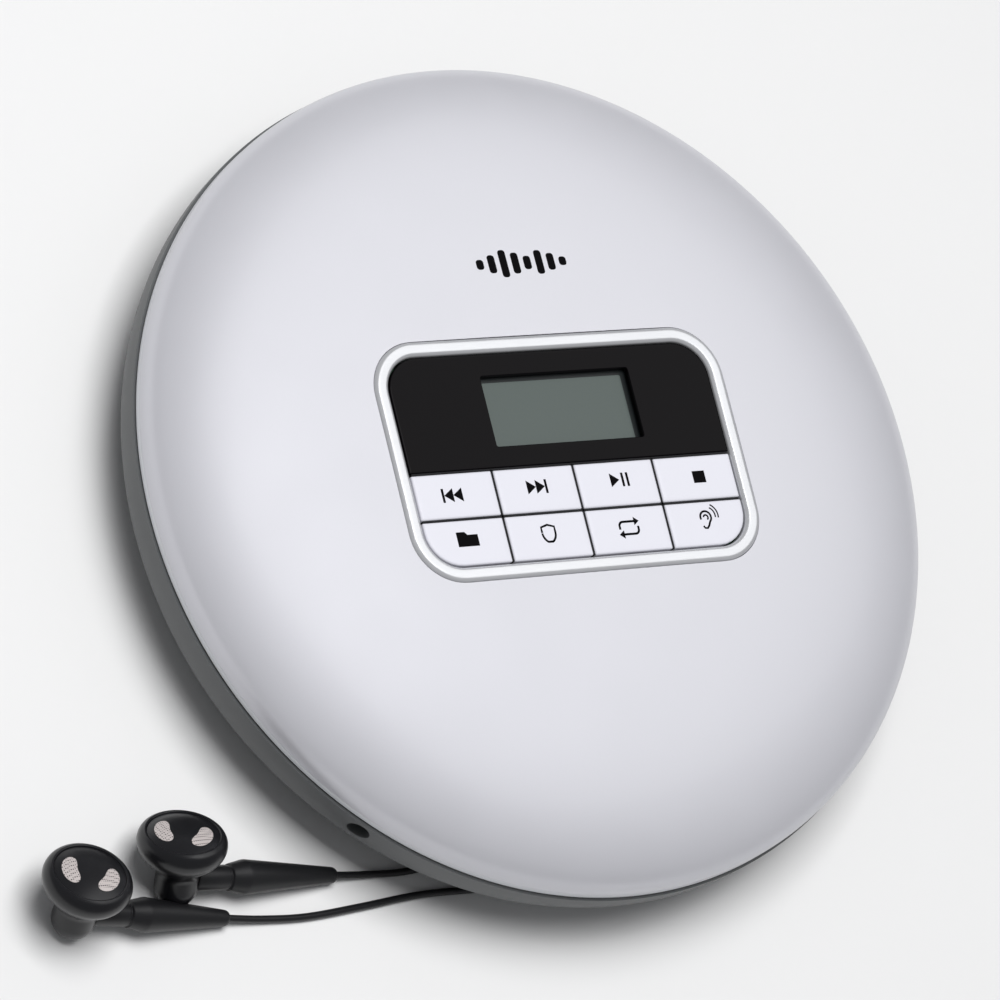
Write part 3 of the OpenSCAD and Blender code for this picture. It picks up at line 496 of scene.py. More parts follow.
def at_height(outline: Array, z: float | Array) -> Array:
    """Give an outline its height."""
    return np.column_stack([outline, np.broadcast_to(z, len(outline))])


def prism(outline: Array, low: float, high: float) -> Array:
    """Two rings that carry an outline from one height to another."""
    return np.stack([at_height(outline, low), at_height(outline, high)])


def bearing(azimuth: float) -> tuple[Array, Array]:
    """Unit vectors outwards along an azimuth in degrees, and along the case's wall there."""
    a = math.radians(azimuth)
    return np.array([math.cos(a), math.sin(a), 0.0]), np.array([-math.sin(a), math.cos(a), 0.0])


def tube(inner: float, outer: float, low: float, high: float) -> Array:
    """A short tube with softened edges about +Z."""
    return turned(softened([(inner, low), (outer, low), (outer, high), (inner, high)], 0.15, closed=True), 32)


def print_piece(name: str, shapes: Sequence[Array], low: Any, high: Any, finish: Finish) -> Any:
    """Make thin printed marks: each outline becomes a closed prism between two surfaces.

    Args:
        name: The piece's plain name.
        shapes: Outlines in x and y.
        low: Height of the underside, as a number or a function of x and y.
        high: Height of the top, likewise.
        finish: The ink.

    Returns:
        The new object.
    """
    stacks = []
    for shape in shapes:
        levels = [h(shape[:, 0], shape[:, 1]) if callable(h) else h for h in (low, high)]
        stacks.append((np.stack([at_height(shape, z) for z in levels]), False))
    return rings_piece(name, stacks, finish, crease=20.0)


def stroke(path: Array, width: float) -> Array:
    """Outline of a line of even width: the path moved half the width to either side."""
    way = np.gradient(path, axis=0)
    way /= np.linalg.norm(way, axis=1)[:, None]
    off = np.column_stack([-way[:, 1], way[:, 0]]) * width / 2
    return np.concatenate([path - off, (path + off)[::-1]])


def arc(centre: Sequence[float], radius: float, start: float, end: float, steps: int = 24) -> Array:
    """Points along an arc, its ends in degrees."""
    angle = np.radians(np.linspace(start, end, steps))
    return np.column_stack([centre[0] + radius * np.cos(angle), centre[1] + radius * np.sin(angle)])


def dress(piece: Any, body: str, slot: str, *replaced: str) -> Any:
    """Let a piece ride on its body and stand for CAD nodes.

    Args:
        piece: The object.
        body: Name of the body that it moves with.
        slot: The record's material slot; not used.
        *replaced: CAD nodes that it stands for.

    Returns:
        The same object.
    """
    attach(piece, body)
    if replaced:
        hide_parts(*replaced)
    LOG.info("%s rides on %s: %d faces", piece.name, body, len(getattr(piece.data, "polygons", ())))
    return piece


# ---------------------------------------------------------------- camera, light and floor
@dataclass
class Studio:
    """Plain pale room: a fixed camera, soft lights and a floor.

    Attributes:
        eye: Camera's place in millimetres.
        right: Camera's right in the object's frame.
        up: Camera's up in the object's frame.
        lens_mm: Focal length.
        sensor_mm: Width of the sensor.
        surround: Colour of the light from all round.
        strength: How bright it is.
    """

    eye: tuple[float, float, float] = (-472.1, -240.8, 743.4)
    right: tuple[float, float, float] = (0.8522, -0.2328, 0.4686)
    up: tuple[float, float, float] = (0.0648, 0.9356, 0.3471)
    lens_mm: float = 203.6
    sensor_mm: float = 36.0
    surround: str = "#F2F3F6"
    strength: float = 0.25

    def build(self) -> None:
        """Make the camera, the lights and the floor."""
        right = np.array(self.right) / np.linalg.norm(self.right)
        back = np.cross(right, self.up)
        back /= np.linalg.norm(back)
        turn = np.eye(4)
        turn[:3, :3] = np.column_stack([right, np.cross(back, right), back])
        turn[:3, 3] = np.array(self.eye) * MM
        data = bpy.data.cameras.new("camera")
        data.lens = self.lens_mm
        data.sensor_width = self.sensor_mm
        data.clip_start = 0.01
        camera = bpy.data.objects.new("camera", data)
        camera.matrix_world = Matrix(turn.tolist())
        bpy.context.scene.collection.objects.link(camera)
        bpy.context.scene.camera = camera
        self.light()
        self.floor()

    def lamp(self, name: str, place: Sequence[float], size: float, watts: float, sheen: bool) -> None:
        """Add a soft square light that faces the object, and either fills it or only gives it sheen.

        Args:
            name: The light's name.
            place: Its centre in metres.
            size: Its side in metres.
            watts: Its power.
            sheen: Whether it shows only in gloss, and otherwise only in diffuse light.
        """
        data = bpy.data.lights.new(name, "AREA")
        data.size = size
        data.energy = watts
        lamp = bpy.data.objects.new(name, data)
        away = np.array(place) / np.linalg.norm(place)
        side = np.cross((0.0, 0.0, 1.0), away)
        side /= np.linalg.norm(side)
        turn = np.eye(4)
        turn[:3, :3] = np.column_stack([side, np.cross(away, side), away])
        turn[:3, 3] = place
        lamp.matrix_world = Matrix(turn.tolist())
        lamp.visible_diffuse = not sheen
        lamp.visible_glossy = sheen
        bpy.context.scene.collection.objects.link(lamp)

    def light(self) -> None:
        """Set a pale even surround, a soft light that fills, and two that only give sheen."""
        scene = bpy.context.scene
        scene.view_settings.view_transform = "Standard"
        world = bpy.data.worlds.new("surround")
        world.use_nodes = True
        background = world.node_tree.nodes["Background"]
        background.inputs["Color"].default_value = linear(self.surround)
        background.inputs["Strength"].default_value = self.strength
        scene.world = world
        self.lamp("fill_light", (-0.12, 0.12, 1.09), 0.6, 12.5, sheen=False)
        self.lamp("sheen_light", (0.45, 0.28, 0.95), 0.9, 2.7, sheen=True)
        self.lamp("glint_light", (0.2, 0.21, 1.05), 0.4, 0.6, sheen=True)

    def floor(self) -> None:
        """Lay a wide plain floor."""
        half, thick = 2500.0, 5.0
        outline = corner_outline((-half, -half), (half, half), [1.0] * 4, steps=1)
        rings_piece("floor", [(prism(outline, -thick, 0.0), False)], FLOOR_PAPER)


# ---------------------------------------------------------------- the case
@dataclass
class Shape:
    """The case's common sizes, in millimetres."""

    seam_z: float = 16.0
    case_r: float = 70.0
    wall_in: float = 9.35
    base_z: float = 1.8
    wall: float = 1.7
    floor_t: float = 1.4
    rim_r: float = 69.6
    lid_z: float = 16.15
    rim_h: float = 1.2
    dome_h: float = 10.6
    dome_flat: float = 4.0
    dome_round: float = 2.76
    lid_wall: float = 1.6
    panel: tuple[float, float] = (59.6, 34.9)
    panel_r: float = 6.0
    bezel_w: float = 2.5
    bezel_z: float = 28.2
    key_z: float = 27.8
    hinge_y: float = 66.0
    hinge_z: float = 16.4
    knuckle_r: float = 1.5
    knuckle_w: float = 4.0

    def wall_r(self, z: Array | float) -> Array:
        """Radius of the base's wall: it curves in with the cube of the depth below the seam."""
        depth = np.maximum(self.seam_z - np.asarray(z), 0) / (self.seam_z - self.base_z)
        return self.case_r - self.wall_in * depth**3

    def dome_z(self, r: Array) -> Array:
        """Height of the dome: a squared-off ellipse in the radius, on top of the rim."""
        share = np.clip(1 - (np.abs(r) / self.rim_r) ** self.dome_flat, 0, 1)
        return self.lid_z + self.rim_h + self.dome_h * share ** (1 / self.dome_round)


@dataclass
class Lid:
    """The domed lid with its rim, liner, frame and mark."""

    shape: Shape = field(default_factory=Shape)
    around: int = 360
    steps: int = 72
    frame_gap: float = 0.05
    knuckles: tuple[float, float] = (-14.3, 10.3)
    mark_y: float = 32.3
    bar_w: float = 1.35
    bar_pitch: float = 2.2
    bar_h: tuple[float, ...] = (1.7, 3.1, 4.7, 3.6, 2.3, 4.1, 2.9, 1.5)

    def build(self) -> None:
        """Make every part of the lid."""
        self.dome()
        self.rim()
        self.bezel()
        self.mark()

    def dome(self) -> None:
        """The dome: rays run from the panel's outline to the rim, at heights by the dome's formula."""
        s = self.shape
        half = np.array(s.panel) / 2 + s.bezel_w + self.frame_gap
        hole = corner_outline(-half, half, [s.panel_r + s.bezel_w] * 4, steps=24, straight=24)
        angle = np.linspace(-np.pi, np.pi, self.around, endpoint=False)
        order = np.argsort(np.arctan2(hole[:, 1], hole[:, 0]))
        hole_r = np.interp(angle, np.arctan2(hole[:, 1], hole[:, 0])[order], np.hypot(*hole.T)[order],
                           period=2 * np.pi)
        start = np.arcsin((hole_r / s.rim_r) ** (s.dome_flat / 2))
        share = 1 - (1 - np.linspace(0, 1, self.steps)) ** 1.5
        turn = start[None, :] + (np.pi / 2 - start)[None, :] * share[:, None]

        def skin(inset: float) -> Array:
            """One skin of the dome, moved in by inset."""
            radius = (s.rim_r - inset) * np.sin(turn) ** (2 / s.dome_flat)
            radius = np.where(share[:, None] == 0, hole_r[None, :], radius)
            height = s.lid_z + s.rim_h + (s.dome_h - inset) * np.cos(turn) ** (2 / s.dome_round)
            return np.stack([radius * np.cos(angle), radius * np.sin(angle), height], axis=2)

        rings = np.concatenate([skin(0.0), skin(s.lid_wall)[::-1]])
        piece = rings_piece("lid_dome", [(rings, True)], PEARL_PAINT, crease=50)
        dress(piece, "lid", "pearl_lid", "lid_shell")

    def rim(self) -> None:
        """The grey rim under the dome, with the two hinge knuckles inside it."""
        s = self.shape
        low, high, inner = s.lid_z, s.lid_z + s.rim_h, s.rim_r - s.lid_wall
        band = turned(softened([(inner, low), (s.rim_r, low), (s.rim_r, high), (inner, high)], 0.15,
                               closed=True),
                      self.around)
        stacks = [(band, True)]
        for x in self.knuckles:
            knuckle = tube(0.65, s.knuckle_r, 0, s.knuckle_w)
            stacks.append((placed(knuckle, (x, s.hinge_y, s.hinge_z), (1, 0, 0), (0, 0, 1)), True))
            web = corner_outline((x, s.hinge_y + 0.7), (x + s.knuckle_w, s.hinge_y + 1.9), [0.1] * 4)
            stacks.append((prism(web, low + 0.05, high), False))
        dress(rings_piece("lid_rim_band", stacks, RIM_ABS_PAINTED_LIGHT), "lid", "rim_grey", "lid_rim")

    def bezel(self) -> None:
        """The plated frame: its section is carried round the panel's outline."""
        s = self.shape
        top, low, ledge, foot = s.bezel_z, 25.3, 25.8, -1.2
        section = softened([(foot, low), (foot, ledge), (0, ledge), (0, top - 0.35), (0.55, top),
                            (s.bezel_w - 0.45, top - 0.02), (s.bezel_w, top - 0.5), (s.bezel_w, low)],
                           0.3, steps=4, closed=True)
        half = np.array(s.panel) / 2 + s.bezel_w
        rings = np.stack([
            at_height(corner_outline(-half, half, [s.panel_r + s.bezel_w] * 4, inset=d, steps=20,
                                     straight=8), z)
            for d, z in section
        ])
        dress(rings_piece("panel_frame", [(rings, True)], SATIN_CHROME, crease=60), "lid", "bezel_chrome",
              "panel_bezel")

    def mark(self) -> None:
        """A generic row of level bars printed above the panel, following the dome."""
        centres = (np.arange(len(self.bar_h)) - (len(self.bar_h) - 1) / 2) * self.bar_pitch
        halves = [np.array([self.bar_w, h]) / 2 for h in self.bar_h]
        bars = [corner_outline((x, self.mark_y) - half, (x, self.mark_y) + half, [0.5] * 4, steps=5)
                for x, half in zip(centres, halves)]

        def over(lift: float) -> Any:
            """Height above the dome, as a function of x and y."""
            return lambda x, y: self.shape.dome_z(np.hypot(x, y)) + lift

        dress(print_piece("lid_mark", bars, over(-0.08), over(0.03), BLACK_INK), "lid", "window_black")


@dataclass
class Panel:
    """The display window, the display and the eight keys."""

    shape: Shape = field(default_factory=Shape)
    pitch: tuple[float, float] = (14.87, 7.77)
    top_y: float = -1.85
    gap: float = 0.4
    side_gap: float = 0.2
    display: tuple[float, float] = (27.4, 11.8)
    display_at: tuple[float, float] = (0.9, 7.7)

    def build(self) -> None:
        """Make the window, the display and the keys with their marks."""
        self.window()
        self.web()
        self.screen()
        for number, name in enumerate(KEYS):
            self.key(name, number)

    def window(self) -> None:
        """The polished window: a slab between the panel's outline and the display's opening."""
        s, side = self.shape, self.side_gap
        low = (-s.panel[0] / 2 + side, self.top_y + self.gap / 2)
        high = (s.panel[0] / 2 - side, s.panel[1] / 2 - side)
        radii = [0.15, 0.15, s.panel_r - side, s.panel_r - side]
        at, size = np.array(self.display_at), np.array(self.display) / 2
        z0, z1 = s.key_z - 0.8, s.key_z
        outer = [(0.0, z0), (0.0, z1 - 0.12), (0.04, z1 - 0.04), (0.12, z1), (0.4, z1)]
        rings = [at_height(corner_outline(low, high, radii, inset=d), z) for d, z in outer]
        rings += [at_height(corner_outline(at - size, at + size, [0.4] * 4, inset=d), z)
                  for d, z in [(-0.4, z1), (-0.1, z1), (0.0, z1 - 0.1), (0.0, z0)]]
        dress(rings_piece("display_cover", [(np.stack(rings), True)], BLACK_ACRYLIC), "lid", "window_black",
              "display_window")

    def web(self) -> None:
        """The rubber ribs that stand up from the key mat and fill the gaps between the keys."""
        half, low = self.gap / 2 - 0.03, -self.shape.panel[1] / 2 + 0.3
        edge = self.shape.panel[0] / 2 - 0.5
        ribs = [((c * self.pitch[0] - half, low), (c * self.pitch[0] + half, self.top_y)) for c in (-1, 0, 1)]
        ribs += [((-edge, y - half), (edge, y + half)) for y in (self.top_y, self.top_y - self.pitch[1])]
        stacks = [(prism(corner_outline(a, b, [0.02] * 4, steps=1), 25.7, 27.6), False) for a, b in ribs]
        dress(rings_piece("key_ribs", stacks, BLACK_RUBBER), "lid", "rubber_black")

    def screen(self) -> None:
        """The display's grey-green glass, set down and to the left in its dark mask, so that a strip of the
        mask stays bare along the top and right as painted shade of the window's recess.
        """
        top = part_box("lcd")[1][2] / MM
        at, size = np.array(self.display_at), np.array(self.display) / 2
        # the glass runs past the opening at the lower left and stops short at the top and right, where the
        # bare dark mask stands in as painted shade of the recess
        low, high = at - size - 0.6, at + size - np.array([0.75, 0.7])
        rings = np.stack([at_height(corner_outline(low, high, [0.3] * 4, inset=d), z)
                          for d, z in [(0, top - 0.1), (0, top + 0.04), (0.04, top + 0.08)]])
        dress(rings_piece("display_screen", [(rings, False)], DISPLAY_GLASS), "lid", "lcd_glass")

    def key(self, name: str, number: int) -> None:
        """One key cap with softened edges and its printed mark.

        Args:
            name: The key's node and body.
            number: Its place, by rows from the upper left.
        """
        s, side = self.shape, self.side_gap
        row, column = divmod(number, len(KEYS) // 2)
        corner = np.array([(column - 2) * self.pitch[0], self.top_y - (row + 1) * self.pitch[1]])
        low, high = corner + self.gap / 2, corner + np.array(self.pitch) - self.gap / 2
        edge = s.panel[0] / 2 - side
        low[0], high[0] = max(low[0], -edge), min(high[0], edge)
        low[1] = max(low[1], -s.panel[1] / 2 + side)
        radii = [0.25] * 4
        if row == 1 and column in (0, 3):
            radii[column // 3] = s.panel_r - side
        top = s.key_z
        section = [(0.0, top - 1.5), (0.0, top - 0.3), (0.05, top - 0.14), (0.16, top - 0.04), (0.34, top),
                   (0.9, top + 0.01)]
        rings = np.stack([at_height(corner_outline(low, high, radii, inset=d), z) for d, z in section])
        centre = corner + np.array(self.pitch) / 2
        stem = prism(arc(centre, 1.6, 0, 345), top - 1.95, top - 1.4)
        dress(rings_piece(f"{name}_cap", [(rings, False), (stem, False)], KEY_ABS), name, "key_white", name)
        mark = print_piece(f"{name}_mark", self.symbol(name, centre), top - 0.02, top + 0.035, BLACK_INK)
        dress(mark, name, "window_black")

    def symbol(self, name: str, centre: Array) -> list[Array]:
        """Outlines of a key's generic sign.

        Args:
            name: The key.
            centre: The key's centre.

        Returns:
            Closed outlines in x and y.
        """
        def right_arrow(x: float, size: float = 1.15, way: float = 1.0) -> Array:
            """A triangle that points right, or left when way is -1."""
            return np.array([[x, -size], [x + way * 1.65, 0], [x, size]])

        def bar(x: float, width: float = 0.42, high: float = 1.15) -> Array:
            """An upright bar."""
            return np.array([[x - width / 2, -high], [x + width / 2, -high], [x + width / 2, high],
                             [x - width / 2, high]])

        folder = [np.array([[-1.9, -1.15], [1.9, -1.15], [1.9, 0.75], [0.1, 0.75], [-0.4, 1.25],
                            [-1.9, 1.25]])]
        shield = [stroke(np.concatenate([arc((0.55, 0.1), 1.75, 180, 236), arc((-0.55, 0.1), 1.75, 304, 360),
                                         [[1.2, 1.1], [0.0, 1.45], [-1.2, 1.1], [-1.2, 0.2]]]), 0.36)]
        loop_top = stroke(np.concatenate([[[-1.7, -0.2]], arc((-1.0, 0.35), 0.7, 180, 90, 8),
                                          [[1.3, 1.05]]]), 0.38)
        loop_low = stroke(np.concatenate([[[1.7, 0.2]], arc((1.0, -0.35), 0.7, 0, -90, 8),
                                          [[-1.3, -1.05]]]), 0.38)
        tips = [np.array([[1.1, 0.35], [2.05, 1.05], [1.1, 1.75]]), np.array([[-1.1, -1.75], [-1.1, -0.35],
                                                                             [-2.05, -1.05]])]
        outer_ear = stroke(np.concatenate([arc((0, 0.55), 1.0, 200, -30, 20),
                                           [[0.55, -0.35], [0.3, -0.85], [-0.1, -1.3], [-0.55, -1.25],
                                            [-0.8, -0.9]]]), 0.34)
        inner_ear = stroke(arc((0, 0.5), 0.42, 170, -60, 12), 0.28)
        waves = [stroke(arc((0.35, 0.75), r, -12, 62, 10), 0.24) for r in (1.5, 2.05)]
        signs: dict[str, tuple[tuple[float, float], list[Array]]] = {
            "key_prev": ((-0.5, 0.1), [bar(-1.9), right_arrow(-0.05, way=-1.0), right_arrow(1.6, way=-1.0)]),
            "key_next": ((0.0, 0.45), [right_arrow(-1.9), right_arrow(-0.25), bar(1.62)]),
            "key_play": ((0.45, 0.6), [right_arrow(-1.7), bar(0.6), bar(1.5)]),
            "key_stop": ((0.5, 0.1), [np.array([[-1.15, -1.0], [1.15, -1.0], [1.15, 1.0], [-1.15, 1.0]])]),
            "key_folder": ((0.1, 0.5), folder),
            "key_shield": ((0.0, 0.4), shield),
            "key_mode": ((0.0, 0.3), [loop_top, loop_low, *tips]),
            "key_ear": ((-0.2, 0.5), [outer_ear, inner_ear, *waves]),
        }
        move, shapes = signs[name]
        return [shape + centre + np.array(move) for shape in shapes]


@dataclass
class Base:
    """The lower case: a turned shell with its sockets and pockets cut out.

    Attributes:
        shape: The case's common sizes.
        steps: Points up the wall.
        around: Points round it.
        seam_gap: How far the wall ends under the seam.
        inner_r: Where every cut through the wall starts.
        outer_r: Where it ends, past the case.
        jack_r: Radius of the holes for plugs.
        line_out: Azimuth and height of the first of them.
        phones: The same of the second.
        collar: Radius of the flat round it and how far out that starts.
        power: Azimuth, half width, lowest and highest z of the power socket's window.
        pocket_r: Where the pockets round the side controls start.
        control_z: Height of the side controls.
        controls: Azimuth, pocket's half width and half height, and its slot's half width and half height.
        feet: Radius, depth, distance from the middle and azimuths of the feet's seats.
        screws: Distance from the middle and azimuths of the case's screws.
        screw_holes: Radius and depth of a screw's counterbore and of its hole.
        door_cuts: Half width, nearest y, lowest and highest z of the door's cuts in the floor, in the wall
            and over it.
        far_y: Where those cuts end, past the case.
        arms: Lowest and highest y and z of the two pieces of a hinge's arm.
        knuckles: Where the hinge's knuckles start.
    """

    shape: Shape = field(default_factory=Shape)
    steps: int = 64
    around: int = 360
    seam_gap: float = 0.15
    inner_r: float = 60.0
    outer_r: float = 75.0
    jack_r: float = 1.95
    line_out: tuple[float, float] = (230.0, 13.2)
    phones: tuple[float, float] = (5.0, 6.8)
    collar: tuple[float, float] = (3.2, 66.55)
    power: tuple[float, ...] = (337.0, 3.9, 5.9, 8.9)
    pocket_r: float = 68.12
    control_z: float = 9.2
    controls: tuple[tuple[float, ...], ...] = ((312, 7.3, 1.9, 5.3, 1.2), (325, 4.8, 1.6, 3.3, 0.9),
                                               (348, 2.9, 1.8, 1.5, 1.0), (355, 2.9, 1.8, 1.5, 1.0))
    feet: tuple[float, float, float, tuple[int, ...]] = (4.5, 2.4, 50.0, (45, 135, 225, 315))
    screws: tuple[float, tuple[int, ...]] = (58.0, (20, 160, 200, 240, 300, 340))
    screw_holes: tuple[tuple[float, float], ...] = ((2.1, 3.0), (1.1, 4.0))
    door_cuts: tuple[tuple[float, ...], ...] = ((26.7, 21.75, 0.0, 3.25), (26.7, 53.15, 2.5, 6.45),
                                                (23.1, 62.5, 12.3, 20.0))
    far_y: float = 80.0
    arms: tuple[tuple[float, ...], ...] = ((63.9, 68.4, 9.4, 12.1), (63.9, 65.5, 11.4, 16.4))
    knuckles: tuple[float, float] = (-10.0, 6.0)

    def block(self, azimuth: float, start: float, half: float, low: float, high: float) -> Array:
        """A box that reaches out along an azimuth, as two rings."""
        outline = corner_outline((start, -half), (self.outer_r, half), [0.25] * 4, steps=4)
        return prism(outline @ np.array(bearing(azimuth))[:, :2], low, high)

    def bore(self, azimuth: float, z: float, radius: float, start: float) -> Array:
        """A round cutter that reaches out along an azimuth, as rings."""
        rod = turned(np.array([[radius, start], [radius, self.outer_r]]), 48)
        return placed(rod, (0, 0, z), bearing(azimuth)[0], (0, 0, 1))

    def hole(self, azimuth: float, away: float, radius: float, depth: float, count: int) -> Array:
        """A round cutter up from the table's level, away from the middle along an azimuth."""
        return turned(np.array([[radius, 0.0], [radius, depth]]), count) + away * bearing(azimuth)[0]

    def cutters(self) -> list[Array]:
        """Everything that is cut from the turned shell."""
        z, start = self.control_z, self.inner_r
        collar_r, collar_start = self.collar
        azimuth, half, low, high = self.power
        cuts = [self.bore(*self.line_out, self.jack_r, start), self.bore(*self.phones, self.jack_r, start),
                self.bore(*self.phones, collar_r, collar_start), self.block(azimuth, start, half, low, high)]
        for azimuth, half, high, slot_half, slot_high in self.controls:
            cuts.append(self.block(azimuth, self.pocket_r, half, z - high, z + high))
            cuts.append(self.block(azimuth, start, slot_half, z - slot_high, z + slot_high))
        radius, depth, away, azimuths = self.feet
        for azimuth in azimuths:
            cuts.append(self.hole(azimuth, away, radius, depth, 48))
        away, azimuths = self.screws
        for azimuth in azimuths:
            cuts += [self.hole(azimuth, away, radius, depth, 32) for radius, depth in self.screw_holes]
        for half, near, low, high in self.door_cuts:
            cuts.append(prism(corner_outline((-half, near), (half, self.far_y), [0.2] * 4), low, high))
        return cuts

    def build(self) -> None:
        """Turn the shell, cut it, and add what is moulded inside it."""
        s = self.shape
        z = np.linspace(s.base_z, s.seam_z - self.seam_gap, self.steps)
        outer = np.column_stack([s.wall_r(z), z])
        z_in = np.linspace(s.base_z + s.floor_t, s.seam_z - self.seam_gap, self.steps)
        inner = np.column_stack([s.wall_r(z_in) - s.wall, z_in])
        profile = np.concatenate([[[0.0, s.base_z]], outer, inner[::-1], [[0.0, s.base_z + s.floor_t]]])
        shell = rings_piece("case_shell", [(turned(profile, self.around), False)], GREY_ABS)
        knife = rings_piece("knife", [(rings, False) for rings in self.cutters()], GREY_ABS)
        cut = shell.modifiers.new("cut", "BOOLEAN")
        cut.operation = "DIFFERENCE"
        cut.solver = "EXACT"
        cut.use_self = True
        cut.object = knife
        done = bpy.data.meshes.new_from_object(shell.evaluated_get(bpy.context.evaluated_depsgraph_get()))
        shell.modifiers.clear()
        old, shell.data = shell.data, done
        bpy.data.meshes.remove(old)
        bpy.data.objects.remove(knife)
        done.set_sharp_from_angle(angle=math.radians(30))
        dress(shell, "case", "case_grey", "base_shell")
        self.inside()

    def inside(self) -> None:
        """The battery box, the screw posts and the hinge's arms, which are moulded in one with the shell."""
        s = self.shape
        low, box_top, post_top = 3.1, 17.0, 10.0
        outer = corner_outline((-28.85, 20.8), (28.85, 54.0), [0.5] * 4)
        inner = corner_outline((-27.65, 22.0), (27.65, 52.6), [0.3] * 4)
        stacks = [(np.concatenate([prism(outer, low, box_top), prism(inner, box_top, low)]), True)]
        hole, post = self.screw_holes[1][0], 2.8
        away, azimuths = self.screws
        for azimuth in azimuths:
            rings = turned(np.array([[hole, low], [post, low], [post, post_top], [hole, post_top]]), 32)
            stacks.append((rings + away * bearing(azimuth)[0], True))
        for x in self.knuckles:
            knuckle = tube(0.6, s.knuckle_r, 0, s.knuckle_w)
            stacks.append((placed(knuckle, (x, s.hinge_y, s.hinge_z), (1, 0, 0), (0, 0, 1)), True))
            for near, far, under, over in self.arms:
                arm = corner_outline((x, near), (x + s.knuckle_w, far), [0.2] * 4)
                stacks.append((prism(arm, under, over), False))
        dress(rings_piece("case_ribs", stacks, GREY_ABS), "case", "case_grey")


# ---------------------------------------------------------------- earphones
def spline(route: Sequence[Sequence[float]], per_span: int = 6) -> Array:
    """Smooth line through a route's points: a cubic whose slope at a point follows its neighbours.

    Args:
        route: Points that it passes through.
        per_span: Points made on each span.

    Returns:
        The points of the line.
    """
    p = np.array(route, dtype=float)
    a, b, c, d = np.vstack([p[:1], p[:-2]]), p[:-1], p[1:], np.vstack([p[2:], p[-1:]])
    t = (np.arange(per_span) / per_span)[None, :, None]
    a, b, c, d = (q[:, None] for q in (a, b, c, d))
    curve = 0.5 * (2 * b + (c - a) * t + (2 * a - 5 * b + 4 * c - d) * t**2 + (3 * b - a - 3 * c + d) * t**3)
    return np.vstack([curve.reshape(-1, 3), p[-1:]])


@dataclass(frozen=True)
class Bud:
    """One earbud's place: its cap, the way it faces, the way its relief leaves, and the relief's end."""

    side: str
    cap: tuple[float, float, float]
    face: tuple[float, float, float]
    out: tuple[float, float, float]
    end: tuple[float, float, float]
    route: tuple[tuple[float, float, float], ...]


LEFT = Bud("left", (-90.7, -55.1, 12.1), (0, 0.456, 0.89), (0.976, -0.195, 0.1), (-64.2, -62, 1.6), (
    (-64.2, -62, 1.6), (-58, -62.6, 0.95), (-50, -63, 0.7), (-40, -62.4, 0.65), (-29, -61.6, 0.65),
    (-16, -61.8, 0.65), (-4, -61, 0.65), (8, -56, 0.65), (16, -46, 0.65), (17, -34, 0.65), (12, -20, 0.65),
    (8, -6, 0.65), (9, 8, 0.65), (14, 20, 0.65), (20, 32, 0.65), (24, 43, 0.65), (27, 53, 0.65),
    (29.4, 60, 0.9), (31, 62.9, 1.3)))
RIGHT = Bud("right", (-73.2, -50.2, 10.9), (-0.077, 0.63, 0.773), (0.97, -0.143, 0.204),
            (-44.1, -57.2, 1.6), (
    (-44.1, -57.2, 1.6), (-38, -57.5, 0.95), (-30, -57.6, 0.7), (-20, -56, 0.65), (-10, -50, 0.65),
    (-7, -40, 0.65), (-12, -30, 0.65), (-22, -22, 0.65), (-27, -11, 0.65), (-23, 1, 0.65), (-13, 8, 0.65),
    (-6, 18, 0.65), (-3, 30, 0.65), (2, 42, 0.65), (10, 52, 0.65), (19, 59, 0.65), (26, 62.6, 0.9),
    (30.6, 64.2, 1.3)))
TAIL_ROUTE = ((38.4, 64.6, 1.2), (40.5, 64.3, 0.9), (42.2, 62.9, 0.65), (43.1, 60.8, 0.65),
              (43.9, 58.6, 0.65), (45.4, 57, 0.65), (47.1, 56.7, 0.65), (48.8, 57.2, 0.65))
PLUG_ROUTE = ((69.3, 24.1, 6.8), (69.1, 27.3, 6.6), (69.2, 31.7, 5.9), (69.5, 36.4, 5.4), (68.8, 39.5, 4.9))


